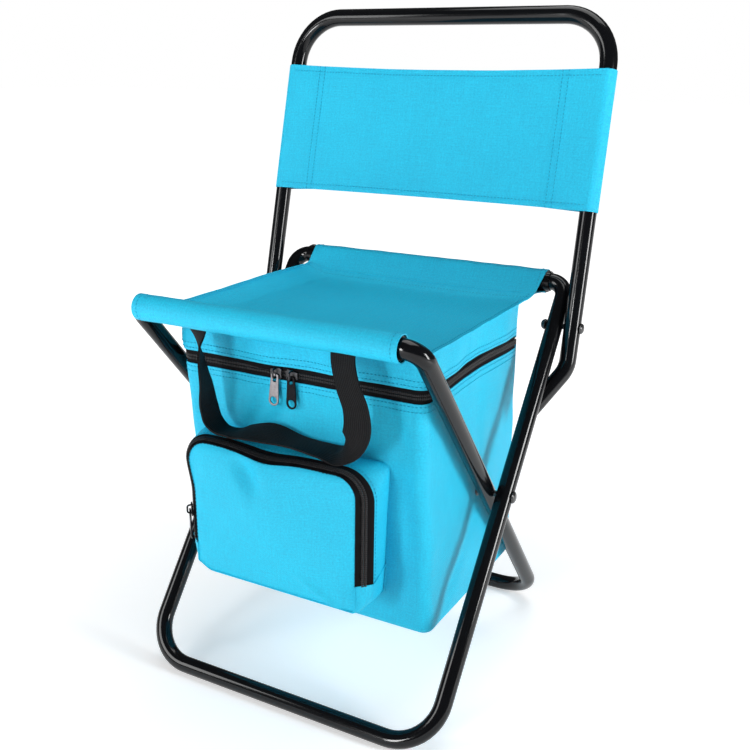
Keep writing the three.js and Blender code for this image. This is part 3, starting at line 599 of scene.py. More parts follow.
def pitched(tree):
    """Points a pitch apart along the runs of a tree's guide."""
    line = tree.node("GeometryNodeMeshToCurve", sockets={"Mesh": tree.inputs["Geometry"]})
    return tree.node("GeometryNodeCurveToPoints", {"mode": "LENGTH"}, {
        "Curve": line["Curve"], "Length": tree.inputs["Pitch"],
    })


def beaded(tree, points, way):
    """Ends a tree with a long bead at each point, lying along a way."""
    lie = tree.node("FunctionNodeAlignRotationToVector", {"axis": "X"}, {"Vector": way})
    bead = tree.node("GeometryNodeMeshIcoSphere", sockets={"Radius": 0.5, "Subdivisions": 1})
    beads = tree.node("GeometryNodeInstanceOnPoints", sockets={
        "Points": points, "Instance": bead["Mesh"], "Rotation": lie["Rotation"], "Scale": tree.inputs["Bead"],
    })
    return tree.done(beads["Instances"])


stitch_row = Tree("stitch_row", {"Pitch": "Float", "Bead": "Vector"})
holes = pitched(stitch_row)
stitch_row = beaded(stitch_row, holes["Points"], holes["Tangent"])


def stitches(name, runs):
    return grown(name, guide(name, runs), stitch_row, {
        "Pitch": STITCH_PITCH, "Bead": STITCH, "Material": sewing_thread,
    })


def panel_point(across, forward, along):
    """A point of the backrest panel: across in half widths of the hoop plus a distance, then forward."""
    half, beyond = across
    return (
        half * (BACKREST_HALF - BACKREST_TAPER * along / BACKREST_LENGTH) + beyond,
        BOLT[0] + BACKREST_UP[0] * along - BACKREST_UP[1] * forward,
        BOLT[1] + BACKREST_UP[1] * along + BACKREST_UP[0] * forward,
    )


def panel_front(s, share):
    """How far the stretched cloth stands before the hoop's plane, at a share of its width and height."""
    slack = 1 - s * s
    wave = PANEL_WAVE * slack**0.5 * noise.noise(Vector((s * 4, share * 1.9, 3.1)))
    return PANEL_WRAP - PANEL_HOLLOW * slack + wave


def panel_along(s, share):
    """The height of the cloth up the hoop: its long edges are pulled in between the tubes."""
    slack = 1 - min(1, abs(s)) ** 2
    return PANEL_LOW + (PANEL_HIGH - PANEL_LOW) * share + slack * (HEM_RISE * (1 - share) - HEM_DIP * share)


angles = np.radians(np.linspace(195, 0, 27))
left_section = [
    ((-1, SLEEVE_TIP[0] - SLEEVE_RUN[0] * s), SLEEVE_TIP[1] - SLEEVE_RUN[1] * s)
    for s in np.linspace(0, 1, 9)[:-1]
]
left_section += [((-1, -PANEL_WRAP * math.sin(a)), PANEL_WRAP * math.cos(a)) for a in angles]
front_section = [((s, 0), None) for s in np.linspace(-1, 1, 61)[1:-1]]
right_section = [((-half, -beyond), forward) for (half, beyond), forward in reversed(left_section)]
panel_section = left_section + front_section + right_section
panel_grid = []
for share in np.linspace(0, 1, 25):
    row = []
    for across, forward in panel_section:
        s = across[0] + across[1] / BACKREST_HALF
        stands = panel_front(s, share) if forward is None else forward
        row.append(panel_point(across, stands, panel_along(s, share)))
    panel_grid.append(row)
backrest_panel = cloth_piece(
    "backrest_panel_cloth", panel_grid, cyan_fabric, PANEL_WALL, facing=(0, -1, 0)
)


def panel_seam(spots):
    return [
        panel_point((s, 0), panel_front(s, share) + SEAM_LIFT, panel_along(s, share)) for s, share in spots
    ]


hem = HEM_STITCH / (PANEL_HIGH - PANEL_LOW)
hem_rows = [panel_seam([(s, share) for s in np.linspace(-0.98, 0.98, 60)]) for share in (hem, 1 - hem)]
sleeve_rows = [
    panel_seam([(side * (1 - inside / BACKREST_HALF), share) for share in np.linspace(0.01, 0.99, 40)])
    for side in (-1, 1) for inside in SLEEVE_STITCHES
]
panel_stitches = stitches("backrest_stitches", hem_rows + sleeve_rows)
fixed(backrest_panel, "cyan_fabric", "backrest", "backrest_panel")
fixed(panel_stitches, "cyan_fabric", "backrest")


# Seat: one cyan sheet whose ends are rolled round the crossbars and sewn down as sleeves. It hangs
# slack between the bars, dips to the bag's top seam, and its side edges are turned and sewn.
SEAT_WALL = 0.001
ROLL_RADIUS = 0.0112
SEAT_LEVEL = 0.3432
SEAM_FRONT, SEAM_REAR = (corner.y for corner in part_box("lid_band"))
SEAT_HALF = 0.1222
FRONT_ROLL = (-0.1285, 0.1185)
REAR_ROLL = (-0.1252, 0.1305)
EDGE_RISE, EDGE_BAND = 0.0095, 0.026
ROLL_TIP, ROLL_LAP = (0.0200, -0.0080), (0.002, -0.0016)
FRONT_SPREAD, REAR_SPREAD = 0.028, 0.03
SEAT_WAVE, SEAT_DIP, SEAT_RIM = 0.0016, 0.0022, 0.0010
ROLL_PUCKER, EDGE_WAVE = 0.0006, 0.0007
SEAT_STITCH, ROLL_STITCH, THREAD_LIFT = 0.004, 0.005, 0.0001


def reached(value, start, end):
    """How far a value has come from a start to an end, from 0 to 1."""
    return np.clip((value - start) / (end - start), 0, 1)


def roll_section(centre, inward):
    """A sleeve seen from the side: up from its seam tip, round the bar, and back under to the tip."""
    sweep = np.radians(np.linspace(62, 302, 40))
    circle = np.stack([np.cos(sweep), np.sin(sweep)], -1) * ROLL_RADIUS
    top = np.linspace(ROLL_TIP, circle[0], 7)[:-1]
    low = np.linspace(circle[-1], np.add(ROLL_TIP, ROLL_LAP), 7)[1:]
    return np.concatenate([top, circle, low]) * (inward, 1) + centre


def raised_edge(x):
    """How far the left edge, stretched straight between the bars, stands above the seat."""
    return EDGE_RISE * reached(-x, SEAT_HALF - EDGE_BAND, SEAT_HALF) ** 1.4


def seat_sag(x, y, share):
    """How far the slack seat lies above its level, below zero in the middle of its width."""
    wave = SEAT_WAVE * noise.noise(Vector((x * 13, y * 10, 0.7)))
    return wave - SEAT_DIP * (1 - share**2) + SEAT_RIM * share**8


front_section = roll_section(FRONT_BAR, 1)
rear_section = roll_section(REAR_BAR, -1)
first, last = front_section[0], rear_section[0]
between = np.linspace(0, 1, 62)[1:-1]
sheet_y = first[0] + (last[0] - first[0]) * between
ramp_front = reached(sheet_y, SEAM_FRONT, first[0])
ramp_rear = reached(sheet_y, SEAM_REAR, last[0])
sheet_z = SEAT_LEVEL + (first[1] - SEAT_LEVEL) * (ramp_front**1.6 + ramp_rear**1.6)
seat_path = np.concatenate([front_section[::-1], np.stack([sheet_y, sheet_z], -1), rear_section])
across = np.linspace(-1, 1, 91)
seat_grid = np.zeros((len(seat_path), len(across), 3))
for i, (y, z) in enumerate(seat_path):
    to_front = reached(y, SEAM_FRONT, SEAM_FRONT - FRONT_SPREAD)
    to_rear = reached(y, SEAM_REAR, SEAM_REAR + REAR_SPREAD)
    low = -SEAT_HALF * (1 - to_front - to_rear) + FRONT_ROLL[0] * to_front + REAR_ROLL[0] * to_rear
    high = SEAT_HALF * (1 - to_front - to_rear) + FRONT_ROLL[1] * to_front + REAR_ROLL[1] * to_rear
    slack = (1 - to_front) * (1 - to_rear)
    for j, s in enumerate(across):
        x = (low + high) / 2 + s * (high - low) / 2
        lift = slack * (seat_sag(x, y, s) + raised_edge(x))
        pull = (to_front + to_rear) * ROLL_PUCKER * noise.noise(Vector((x * 55, y * 22, 4.2)))
        edge_wave = slack * EDGE_WAVE * math.sin(y * 70 + 0.6) * abs(s) ** 6
        seat_grid[i, j] = (x + math.copysign(edge_wave, s), y, z + lift + pull)
seat_fabric = cloth_piece("seat_fabric", seat_grid, cyan_fabric, SEAT_WALL)

top_rows = slice(len(front_section), len(seat_path) - len(rear_section))
seat_rows = [
    seat_grid[top_rows, column] + (inward, 0, 0) for column, inward in ((0, SEAT_STITCH), (-1, -SEAT_STITCH))
]
seat_rows += [seat_grid[row, 1:-1] for row in (top_rows.start + 1, top_rows.stop - 2)]
for section, centre, ends in ((front_section, FRONT_BAR, FRONT_ROLL), (rear_section, REAR_BAR, REAR_ROLL)):
    off_bar = np.stack([(section[:, 0] - centre[0]) / ROLL_RADIUS, np.ones(len(section))], -1)
    for x in (ends[0] + ROLL_STITCH, ends[1] - ROLL_STITCH):
        seat_rows.append([(x, *point) for point in section + THREAD_LIFT * off_bar])
seat_stitches = stitches("seat_stitches", seat_rows)
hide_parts("seat_panel", "seat_front_sleeve", "seat_rear_sleeve")
for obj in (seat_fabric, seat_stitches):
    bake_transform(obj)


# Cool bag: a cyan shell sewn under the seat, with rounded upright corners, a front that leans back
# and a soft bottom edge. The fabric is slack enough to belly out and to show shallow folds.
bag_low, bag_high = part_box("bag_shell")
BAG_HALF, BAG_BOTTOM = bag_high.x, bag_low.z
BAG_FRONT, BAG_REAR = SEAM_FRONT, SEAM_REAR
BAG_TOP, BAG_CORNER, BAG_EDGE = 0.3066, 0.011, 0.006
FRONT_LEAN, REAR_LEAN = 0.023, 0.009
TAPE_LOW, TAPE_HIGH = 0.3009, 0.3131
ZIP_MIDDLE, ZIP_BOW = 0.3070, 0.0034
SIDE_BELLY, FRONT_BELLY, BOTTOM_SAG = 0.0022, 0.0028, 0.0008
SIDE_FOLD, BAG_RIPPLE = 0.0028, 0.0034
FOLD_SLOPE, FOLD_FOOT, FOLD_REAR, FOLD_WIDTH = 2.3, 0.36, 0.05, 0.13
BROAD_WAVES, FINE_WAVES, FINE_SHARE = (14, 14, 6), (38, 38, 24), 0.55
BOW_FADE, CREASE_FADE = 0.02, 0.012
BAG_WALL = 0.0012
ZIP_SEAMS = (0.0026, 0.0072)
# Creases in the bag's front: x and z of both ends, then width and depth.
FRONT_CREASES = (
    (-0.031, 0.293, -0.047, 0.258, 0.0065, 0.0024), (-0.010, 0.277, -0.030, 0.256, 0.0055, 0.0020),
    (0.012, 0.299, 0.024, 0.282, 0.0060, 0.0018), (0.084, 0.296, 0.101, 0.262, 0.0080, 0.0022),
    (0.098, 0.232, 0.108, 0.160, 0.0090, 0.0020), (-0.060, 0.298, -0.066, 0.262, 0.0075, 0.0020),
)


def outline(counts, stops):
    """Points round a rounded box: where each lies between the corner centres, and the way it faces."""
    found = []
    for count, start, end in zip(counts, np.array(stops, float), np.array(stops[1:])):
        found += [start + (end - start) * share for share in np.arange(count) / count]
    return np.array(found) * (1, 1, math.pi / 180)


BAG_STOPS = [
    (0, 1, 90), (1, 1, 90), (1, 1, 0), (1, -1, 0), (1, -1, -90), (-1, -1, -90), (-1, -1, -180),
    (-1, 1, -180), (-1, 1, -270), (0, 1, -270),
]
BAG_COUNTS = (14, 8, 48, 8, 72, 8, 48, 8, 14)
bag_ring = outline(BAG_COUNTS, BAG_STOPS)
zip_start, zip_end = sum(BAG_COUNTS[:2]), sum(BAG_COUNTS[:7])
zip_ring = bag_ring[zip_start:zip_end + 1]


def hump(value, middle, width):
    """A soft hump, 1 high at its middle."""
    return np.exp(-(((value - middle) / width) ** 2))


def zip_bow(ring, z):
    """How far the zip's line is drawn up in the middle of each side."""
    sy, face = ring[:, 1], ring[:, 2]
    return ZIP_BOW * np.cos(face) ** 2 * (1 - sy**2) ** 2 * hump(z, ZIP_MIDDLE, BOW_FADE)


def waver(points):
    """Smooth noise at rows of points."""
    return np.array([noise.noise(Vector(point)) for point in points])


def creased(across, up, creases):
    """How deep soft creases lie at points of a cloth."""
    depths = np.zeros(np.shape(across))
    for left, low, right, high, width, depth in creases:
        run = np.array((right - left, high - low))
        share = np.clip(((across - left) * run[0] + (up - low) * run[1]) / run.dot(run), 0, 1)
        gap = np.hypot(across - left - share * run[0], up - low - share * run[1])
        depths = depths + depth * hump(gap, 0, width)
    return depths


def bag_wall(ring, z, out=0.0):
    """Points of the bag's wall at one height, or a height for each, pushed out by its belly and folds."""
    sx, sy, face = ring.T
    z = np.broadcast_to(z, sx.shape)
    fall = reached(z, TAPE_LOW, BAG_BOTTOM)
    front, rear = BAG_FRONT + FRONT_LEAN * fall, BAG_REAR + REAR_LEAN * fall
    nx, ny = np.cos(face), np.sin(face)
    x = sx * (BAG_HALF - BAG_CORNER)
    y = (front + rear) / 2 + sy * ((rear - front) / 2 - BAG_CORNER)
    height = reached(z, BAG_BOTTOM, BAG_TOP)
    full = np.sin(np.pi * height) ** 0.6
    belly = full * (SIDE_BELLY * nx**2 * (1 - sy**2) + FRONT_BELLY * ny**2 * (1 - sx**2))
    spots = np.stack([x, y, z], -1)
    soft = waver(spots * BROAD_WAVES) + FINE_SHARE * waver(spots * FINE_WAVES)
    fold_line = np.minimum(FOLD_SLOPE * (height - FOLD_FOOT), FOLD_REAR)
    fold = -SIDE_FOLD * nx**2 * hump(sy, fold_line, FOLD_WIDTH) * np.clip(height * 8, 0, 1) * (1 - height)
    below_zip = reached(z, TAPE_LOW, TAPE_LOW - CREASE_FADE)
    fold = fold - np.where(ny < -0.5, ny**2, 0) * creased(x, z, FRONT_CREASES) * below_zip
    reach = BAG_CORNER + belly + fold + BAG_RIPPLE * soft * full + out
    return np.stack([x + reach * nx, y + reach * ny, z + zip_bow(ring, z)], -1)


def bag_loops(top, bottom, inset, rows):
    """Loops of points from the top of the bag down its wall, round its bottom edge and to the middle."""
    rise = top - bottom - BAG_EDGE
    loops = [bag_wall(bag_ring, bottom + BAG_EDGE + rise * s, -inset) for s in np.linspace(1, 0, rows)]
    for bend in np.radians(np.linspace(12, 90, 8)):
        drop = BAG_EDGE * (1 - math.sin(bend))
        loops.append(bag_wall(bag_ring, bottom + drop, -inset - BAG_EDGE * (1 - math.cos(bend))))
    rim = loops[-1]
    middle = rim.mean(axis=0)
    for share in (0.85, 0.65, 0.4, 0.15, 0.0):
        loops.append(middle + (rim - middle) * share - (0, 0, BOTTOM_SAG * (1 - share)))
    return np.array(loops)


def squashed(obj, slot, body, *nodes):
    """Fixes a soft piece to its body and gives it a mesh of its own."""
    fixed(obj, slot, body, *nodes)
    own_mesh(obj)


def zip_edge(at_zip, at_rear):
    """The height of a cloth edge that follows the zip tape and closes to the seam at the rear."""
    edge = np.full(len(bag_ring), at_rear)
    edge[zip_start:zip_end + 1] = at_zip
    for k in range(4):
        edge[[zip_start - 1 - k, zip_end + 1 + k]] = at_zip + (at_rear - at_zip) * (k + 1) / 5
    return edge


def bag_panel(name, rows, body, *nodes, **ways):
    """A panel of the bag's cloth from rows of points."""
    squashed(cloth_piece(name, rows, cyan_fabric, BAG_WALL, **ways), "cyan_fabric", body, *nodes)


def bag_seam(name, runs, body):
    squashed(stitches(name, runs), "cyan_fabric", body)


bag_rows = bag_loops(zip_edge(TAPE_LOW, BAG_TOP), BAG_BOTTOM, 0, 66)
bag_panel("bag_cloth", bag_rows, "bag_body", "bag_shell", ring=True)
bag_seam("bag_stitches", [bag_wall(zip_ring, TAPE_LOW - gap, SEAM_LIFT) for gap in ZIP_SEAMS], "bag_body")


# Lid band: the strip of the same cloth between the seat and the zip, sewn to the seat's underside.
# Two rows of stitches hold the zip's upper tape behind its lower edge.
LID_TOP = SEAT_LEVEL - BAG_WALL
LID_SWELL, REAR_GAP = 0.0045, 0.0008


def lid_wall(ring, z, out=0.0):
    points = bag_wall(ring, TAPE_LOW, out)
    points[:, 2] = z + zip_bow(ring, z)
    rise = reached(points[:, 2], BAG_TOP, LID_TOP)
    swell = LID_SWELL * np.sin(np.pi * rise) * (0.25 + waver(points * (30, 30, 0) + (0, 0, 7.7)))
    points[:, 0] += swell * np.cos(ring[:, 2])
    points[:, 1] += swell * np.sin(ring[:, 2])
    return points


lid_low = zip_edge(TAPE_HIGH, BAG_TOP + REAR_GAP)
lid_edge = bag_wall(bag_ring, TAPE_LOW)
lid_high = LID_TOP + raised_edge(lid_edge[:, 0] - (SEAT_HALF - BAG_HALF))
lid_high += [seat_sag(x, y, x / SEAT_HALF) for x, y, z in lid_edge]
lid_rows = [lid_wall(bag_ring, lid_low + (lid_high - lid_low) * s) for s in np.linspace(1, 0, 18)]
bag_panel("lid_band_cloth", lid_rows, "bag_lid", "lid_band", ring=True)
bag_seam("lid_stitches", [lid_wall(zip_ring, TAPE_HIGH + gap, SEAM_LIFT) for gap in ZIP_SEAMS], "bag_lid")


# Cool lining: white foam sheet against the cloth with crinkled silver foil laminated over it, in the
# bag and as a board under the lid.
FOAM_OUT, FOAM_IN, FOIL_IN, BOARD_IN = 0.0019, 0.0054, 0.0062, 0.0022
FOAM_LOW, FOIL_LOW, LINING_TOP = 0.088, 0.0845, 0.3004
FOIL_WALL = 0.0005
# The lid board's section, from its middle over its rim and back below: share of the way out, and height.
BOARD_SECTION = (
    (0.0, 0.3386), (0.5, 0.3386), (0.99, 0.3386), (1.0, 0.3378),
    (1.0, 0.3362), (0.985, 0.3352), (0.6, 0.3345), (0.0, 0.3343),
)

white_foam = speckled(
    "white_foam", {"Specular IOR Level": 0.2}, grain=(900, 2.0),
    colours=((0.78, 0.78, 0.76), (0.9, 0.9, 0.89)), roughness=(0.75, 0.15), bumps=(0.0003, 0.6),
)
foil = Finish("foil_lining", {"Metallic": 0.55})
crease = foil.node("ShaderNodeTexVoronoi", {"feature": "DISTANCE_TO_EDGE"}, {
    "Vector": foil.place(), "Scale": 62.0,
})
crumple = foil.speckle(foil.place(), 130, 4.0)
foil.done({
    "Base Color": foil.mix(crumple, (0.62, 0.63, 0.65), (0.82, 0.83, 0.85)),
    "Roughness": 0.3 + 0.22 * crumple,
    "Normal": foil.bump(crease + 0.3 * crumple, 0.0012, 0.7),
})


def lining(name, loops, material, slot, body, node, wall=None):
    """A lining from loops of points: closed in itself, or a shell that is given its wall."""
    mesh = merged(grid_mesh(name, np.array(loops), ring=True))
    mesh.materials.append(material)
    obj = placed(name, mesh)
    if wall:
        turned_out(mesh)
        walled(obj, wall)
    squashed(obj, slot, body, node)


foam_heights = np.linspace(FOAM_LOW, LINING_TOP, 24)
foam_loops = [bag_wall(bag_ring, z, -FOAM_OUT) for z in foam_heights]
foam_loops += [bag_wall(bag_ring, z, -FOAM_IN) for z in foam_heights[::-1]]
lining("bag_foam_sheet", foam_loops + foam_loops[:1], white_foam, "white_foam", "bag_body", "bag_foam")
foil_loops = bag_loops(LINING_TOP, FOIL_LOW, FOIL_IN, 40)
lining("bag_foil_lining", foil_loops, foil.material, "foil_lining", "bag_body", "bag_foil", FOIL_WALL)
board_rim = bag_wall(bag_ring, TAPE_LOW, -BOARD_IN) * (1, 1, 0)
board_middle = board_rim.mean(axis=0)
board_loops = [board_middle + (board_rim - board_middle) * share + (0, 0, z) for share, z in BOARD_SECTION]
lining("lid_lining", board_loops, foil.material, "foil_lining", "bag_lid", "lid_board")


# Main zip: a black nylon coil zip round the front and both sides, its tapes sewn behind the cloth
# edges. Two dark metal sliders meet near the middle of the front, each with a hanging pull.
TAPE_RECESS, TAPE_WALL, TAPE_GAP = 0.0008, 0.0008, 0.0003
UPPER_TAPE_TOP, LOWER_TAPE_FOOT = 0.3165, 0.2975
COIL_PITCH, COIL_TOOTH, COIL_REACH = 0.0017, (0.0034, 0.0012, 0.0014), 0.0009
COIL_HALF, COIL_DEEP = 0.0004, 0.0001
SLIDER_Y, PULL_Y, PULL_TOP = -0.1176, -0.1208, 0.3058

zip_tape = Finish("zip_tape", {"Specular IOR Level": 0.06})
lay = zip_tape.node("ShaderNodeUVMap", {"uv_map": "weave"})
rib = (zip_tape.along(lay, "X") * 5200.0 + zip_tape.along(lay, "Y") * 5200.0).sine()
lint = zip_tape.speckle(zip_tape.place(), 900, 3.0)
zip_tape.done({
    "Base Color": zip_tape.mix(lint, (0.002, 0.002, 0.0025), (0.007, 0.0065, 0.0075)),
    "Roughness": 0.6 + 0.2 * lint,
    "Normal": zip_tape.bump(rib, 0.00008, 0.6),
})
nylon = speckled(
    "zip_nylon", {"Specular IOR Level": 0.35}, grain=(600, 2.0),
    colours=((0.012, 0.012, 0.013), (0.034, 0.033, 0.035)), roughness=(0.28, 0.16),
)

zip_coil = Tree("zip_coil", {"Pitch": "Float", "Bead": "Vector", "Reach": "Float"})
teeth = pitched(zip_coil)
away = zip_coil.node("GeometryNodeInputNamedAttribute", {"data_type": "FLOAT_VECTOR"}, {"Name": "across"})
shift = zip_coil.node("ShaderNodeVectorMath", {"operation": "SCALE"}, {
    0: away["Attribute"], "Scale": zip_coil.inputs["Reach"],
})
rooted = zip_coil.node("GeometryNodeSetPosition", sockets={"Geometry": teeth["Points"], "Offset": shift[0]})
zip_coil = beaded(zip_coil, rooted["Geometry"], away["Attribute"])


def half_zip(name, rows, run, across, body):
    """One half of a zip: its tape from rows of points, and its coil beside the zip's line."""
    tape = cloth_piece(name + "_cloth", rows, zip_tape.material, TAPE_WALL)
    coil_guide = guide(name + "_coil", [run + COIL_HALF * across], across=across)
    coil = grown(name + "_coil", coil_guide, zip_coil, {
        "Pitch": COIL_PITCH, "Bead": COIL_TOOTH, "Reach": COIL_REACH, "Material": nylon,
    })
    squashed(tape, "black_zip", body, name + "_tape")
    squashed(coil, "black_zip", body)


coil_run = bag_wall(zip_ring, ZIP_MIDDLE, -COIL_DEEP)
coil_up = np.zeros_like(coil_run) + (0, 0, 1)
upper_heights = np.linspace(UPPER_TAPE_TOP, ZIP_MIDDLE + TAPE_GAP, 6)
lower_heights = np.linspace(ZIP_MIDDLE - TAPE_GAP, LOWER_TAPE_FOOT, 6)
upper_rows = [lid_wall(zip_ring, z, -TAPE_RECESS) for z in upper_heights]
lower_rows = [bag_wall(zip_ring, z, -TAPE_RECESS) for z in lower_heights]
half_zip("main_zip_upper", upper_rows, coil_run, coil_up, "bag_lid")
half_zip("main_zip_lower", lower_rows, coil_run, -coil_up, "bag_body")


def slider_metal(name, dark, bright):
    """Die-cast zip metal, rubbed on its edges."""
    return speckled(
        name, {"Metallic": 1.0}, grain=(500, 5.0), colours=(dark, bright), roughness=(0.2, 0.25),
        bumps=(0.00005, 0.4),
    )


dark_metal = slider_metal("dark_zip_metal", (0.02, 0.02, 0.022), (0.08, 0.08, 0.085))
black_metal = slider_metal("black_zip_metal", (0.004, 0.004, 0.005), (0.016, 0.016, 0.018))
bright_metal = slider_metal("bright_zip_metal", (0.12, 0.115, 0.12), (0.30, 0.28, 0.29))


def ellipse(middle, width, height, steps, start=0.0, end=360.0):
    sweep = np.radians(np.linspace(start, end, steps, endpoint=end - start < 360))
    return [(middle[0] + width * math.cos(a), middle[1] + height * math.sin(a)) for a in sweep]


def plate(name, outlines, thickness, bevel):
    """A stamped plate with rounded edges, flat in x and y, from its outline and its holes' outlines."""
    curve = bpy.data.curves.new(name, "CURVE")
    curve.dimensions = "2D"
    curve.fill_mode = "BOTH"
    curve.extrude = thickness / 2 - bevel
    curve.bevel_depth = bevel
    curve.bevel_resolution = 2
    for points in outlines:
        spline = curve.splines.new("POLY")
        spline.points.add(len(points) - 1)
        spline.points.foreach_set("co", np.array([(x, y, 0, 1) for x, y in points]).ravel())
        spline.use_cyclic_u = True
    obj = placed(name, curve)
    mesh = final_mesh(obj)
    bpy.data.objects.remove(obj)
    return merged(mesh)


def zip_metal(name, meshes, metal, where, node, body):
    """A slider or pull: one mesh from several, put in its place on the zip."""
    work = bmesh.new()
    for mesh in meshes:
        work.from_mesh(mesh)
    whole = bpy.data.meshes.new(name)
    work.to_mesh(whole)
    work.free()
    whole.materials.clear()
    whole.materials.append(metal)
    for face in whole.polygons:
        face.material_index = 0
        face.use_smooth = True
    whole.set_sharp_from_angle(angle=math.radians(50))
    whole.transform(where)
    squashed(placed(name, whole), "zip_metal", body, node)


def seated(x_way, y_way, place):
    """Where a small part goes: its own x and y ways, and its origin."""
    z_way = Vector(x_way).cross(Vector(y_way))
    return Matrix.Translation(place) @ Matrix((x_way, y_way, z_way)).transposed().to_4x4()


def slider(name, where, node, body, arch_way, arch_high, metal):
    """A zip slider: two shield-shaped wings, a neck between them and an arch across the pull's bar."""
    shield = [
        (-0.0052, 0.0027), (-0.0020, 0.0030), (0.0012, 0.0040),
        (0.0042, 0.0043), (0.0055, 0.0030), (0.0051, 0.0008),
    ]
    shield += [(x, -y) for x, y in reversed(shield)]
    face = plate(name + "_face", [shield], 0.0014, 0.0004)
    face.transform(Matrix.Translation((0, 0, 0.0015)))
    under = plate(name + "_under", [shield], 0.0010, 0.0003)
    under.transform(Matrix.Translation((0, 0, -0.0022)))
    neck = plate(name + "_neck", [ellipse((0.0033, 0), 0.0014, 0.0012, 12)], 0.0030, 0.0002)
    arc = ((-0.0040, 0.0016), (-0.0036, arch_high), (0.0036, arch_high), (0.0040, 0.0016))
    bow = [(across * arch_way[0], across * arch_way[1], up) for across, up in arc]
    arch = grown(name + "_arch", guide(name, [bow], bend=[0, 0.002, 0.002, 0]), bent_tube, {
        "Radius": 0.0008, "Sides": 10, "Bend Steps": 6,
    })
    zip_metal(name, [face, under, neck, arch.data], metal, where, node, body)
    bpy.data.objects.remove(arch)


def zip_pull(name, where, node, body, metal):
    """A stamped pull: a window for the slider's arch at the top and a round hole at the wider end."""
    edge = ellipse((0, -0.0230), 0.0046, 0.0046, 17, 180, 360)
    edge += [(0.0043, -0.018), (0.0036, -0.006), (0.0034, -0.0005)]
    edge += ellipse((0, -0.0005), 0.0034, 0.0010, 9, 0, 180)[1:-1]
    edge += [(-0.0034, -0.0005), (-0.0036, -0.006), (-0.0043, -0.018)]
    window = [(-0.0021, -0.0012), (0.0021, -0.0012), (0.0021, -0.0068), (-0.0021, -0.0068)]
    hole = ellipse((0, -0.0230), 0.0037, 0.0037, 20)
    zip_metal(name, [plate(name, [edge, window, hole], 0.0014, 0.0004)], metal, where, node, body)


for side, way, lean, metal in (("left", 1, 0.08, bright_metal), ("right", -1, 0.0, black_metal)):
    x = sum(corner.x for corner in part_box(f"main_zip_{side}_slider")) / 2
    slider(
        f"{side}_slider_metal", seated((way, 0, 0), (0, 0, way), (x, SLIDER_Y, ZIP_MIDDLE)),
        f"main_zip_{side}_slider", f"{side}_slider", arch_way=(0, 1), arch_high=0.0064, metal=dark_metal,
    )
    along, up = (math.cos(lean), 0, -math.sin(lean)), (math.sin(lean), 0, math.cos(lean))
    zip_pull(
        f"{side}_pull_metal", seated(along, up, (x, PULL_Y, PULL_TOP)),
        f"main_zip_{side}_pull", f"{side}_pull", metal,
    )


# Front pocket: a puffed cyan box on the bag's front. A sewn gusset stands out from the bag, and the
# front panel is closed round its slanted edge by a zip; below the zip's ends it is sewn all round.
EDGE_Y, PANEL_Y = -0.1388, -0.1505
ZIP_END = 0.1455
POCKET_CROWN = 0.0075
POCKET_TAPER, POCKET_FLARE = 0.012, 0.005
POCKET_PUFF, GUSSET_RIPPLE, GUSSET_SINK = 0.0012, 0.0011, 0.001
FOOT_TUCK, FOOT_LIFT, TOP_DENT, TOP_BULGE = 0.008, 0.006, 0.0036, 0.0018
FRONT_RIPPLE, STRAP_DENT, FOOT_CREASE = 0.0034, 0.0070, 0.0026
WELT_OUT, FOOT_WELT_OUT, GUSSET_SEAM_OUT, COIL_OUT = 0.0010, 0.0004, 0.0006, 0.0014
TAPE_RISE, TAPE_PUCKER, PUCKER_LENGTHS = 0.0006, 0.0006, (0.0135, 0.0217)
ZIP_LINE, ZIP_SPLIT = 0.52, 0.02
POCKET_SLIDER, POCKET_PULL = (-0.0932, -0.1447, 0.174), (-0.09577, -0.1467, 0.1728)
SLANT_WAY = (math.sqrt(0.5), -math.sqrt(0.5), 0)
# Left, right, bottom, top, top corner and foot corner: at the bag, at the zip edge, on the front panel.
POCKET_OUTLINES = np.array([
    (-0.0980, 0.0880, 0.1130, 0.2450, 0.006, 0.006),
    (-0.0980, 0.0875, 0.1140, 0.2455, 0.027, 0.012),
    (-0.0850, 0.0765, 0.1210, 0.2415, 0.018, 0.002),
])
# Where the pocket is pulled out of true: x or z from none to full, or, for dent and bulge, x and width.
TAPER_UP, TUCK_UP, PRESS_UP = (0.246, 0.114), (0.142, 0.114), (0.205, 0.240)
FLARE_ACROSS, FLARE_UP = (-0.040, -0.070), (0.192, 0.226)
LIFT_ACROSS, LIFT_UP = (-0.066, -0.085), (0.140, 0.120)
DENT_ACROSS, BULGE_ACROSS = (-0.010, 0.022), (-0.060, 0.020)
POCKET_MIDDLE, POCKET_HALF = -0.005, 0.093
# The dent under the strap and the crease at the foot: x and z of the middle, widths in x and z, and lean.
STRAP_AT, STRAP_SIZE, STRAP_LEAN = (-0.028, 0.226), (0.010, 0.016), 0.5
CREASE_AT, CREASE_SIZE, CREASE_LEAN = (0.044, 0.131), (0.016, 0.0035), 0.55
POCKET_STOPS = [
    (-1, 0, 180), (-1, -1, 180), (-1, -1, 270), (1, -1, 270), (1, -1, 360), (1, 0, 360), (1, 1, 360),
    (1, 1, 450), (-1, 1, 450), (-1, 1, 540), (-1, 0, 540),
]
POCKET_COUNTS = (7, 8, 40, 8, 7, 26, 14, 44, 14, 26)
pocket_ring = outline(POCKET_COUNTS, POCKET_STOPS)
low_count = sum(POCKET_COUNTS[:5])
low_ring = pocket_ring[:low_count + 1]
pocket_zip_ring = np.concatenate([pocket_ring[low_count:], pocket_ring[:1]])


def eased(value, start, end):
    """How far a value has come from a start to an end, slow at both ends."""
    share = reached(value, start, end)
    return share * share * (3 - 2 * share)


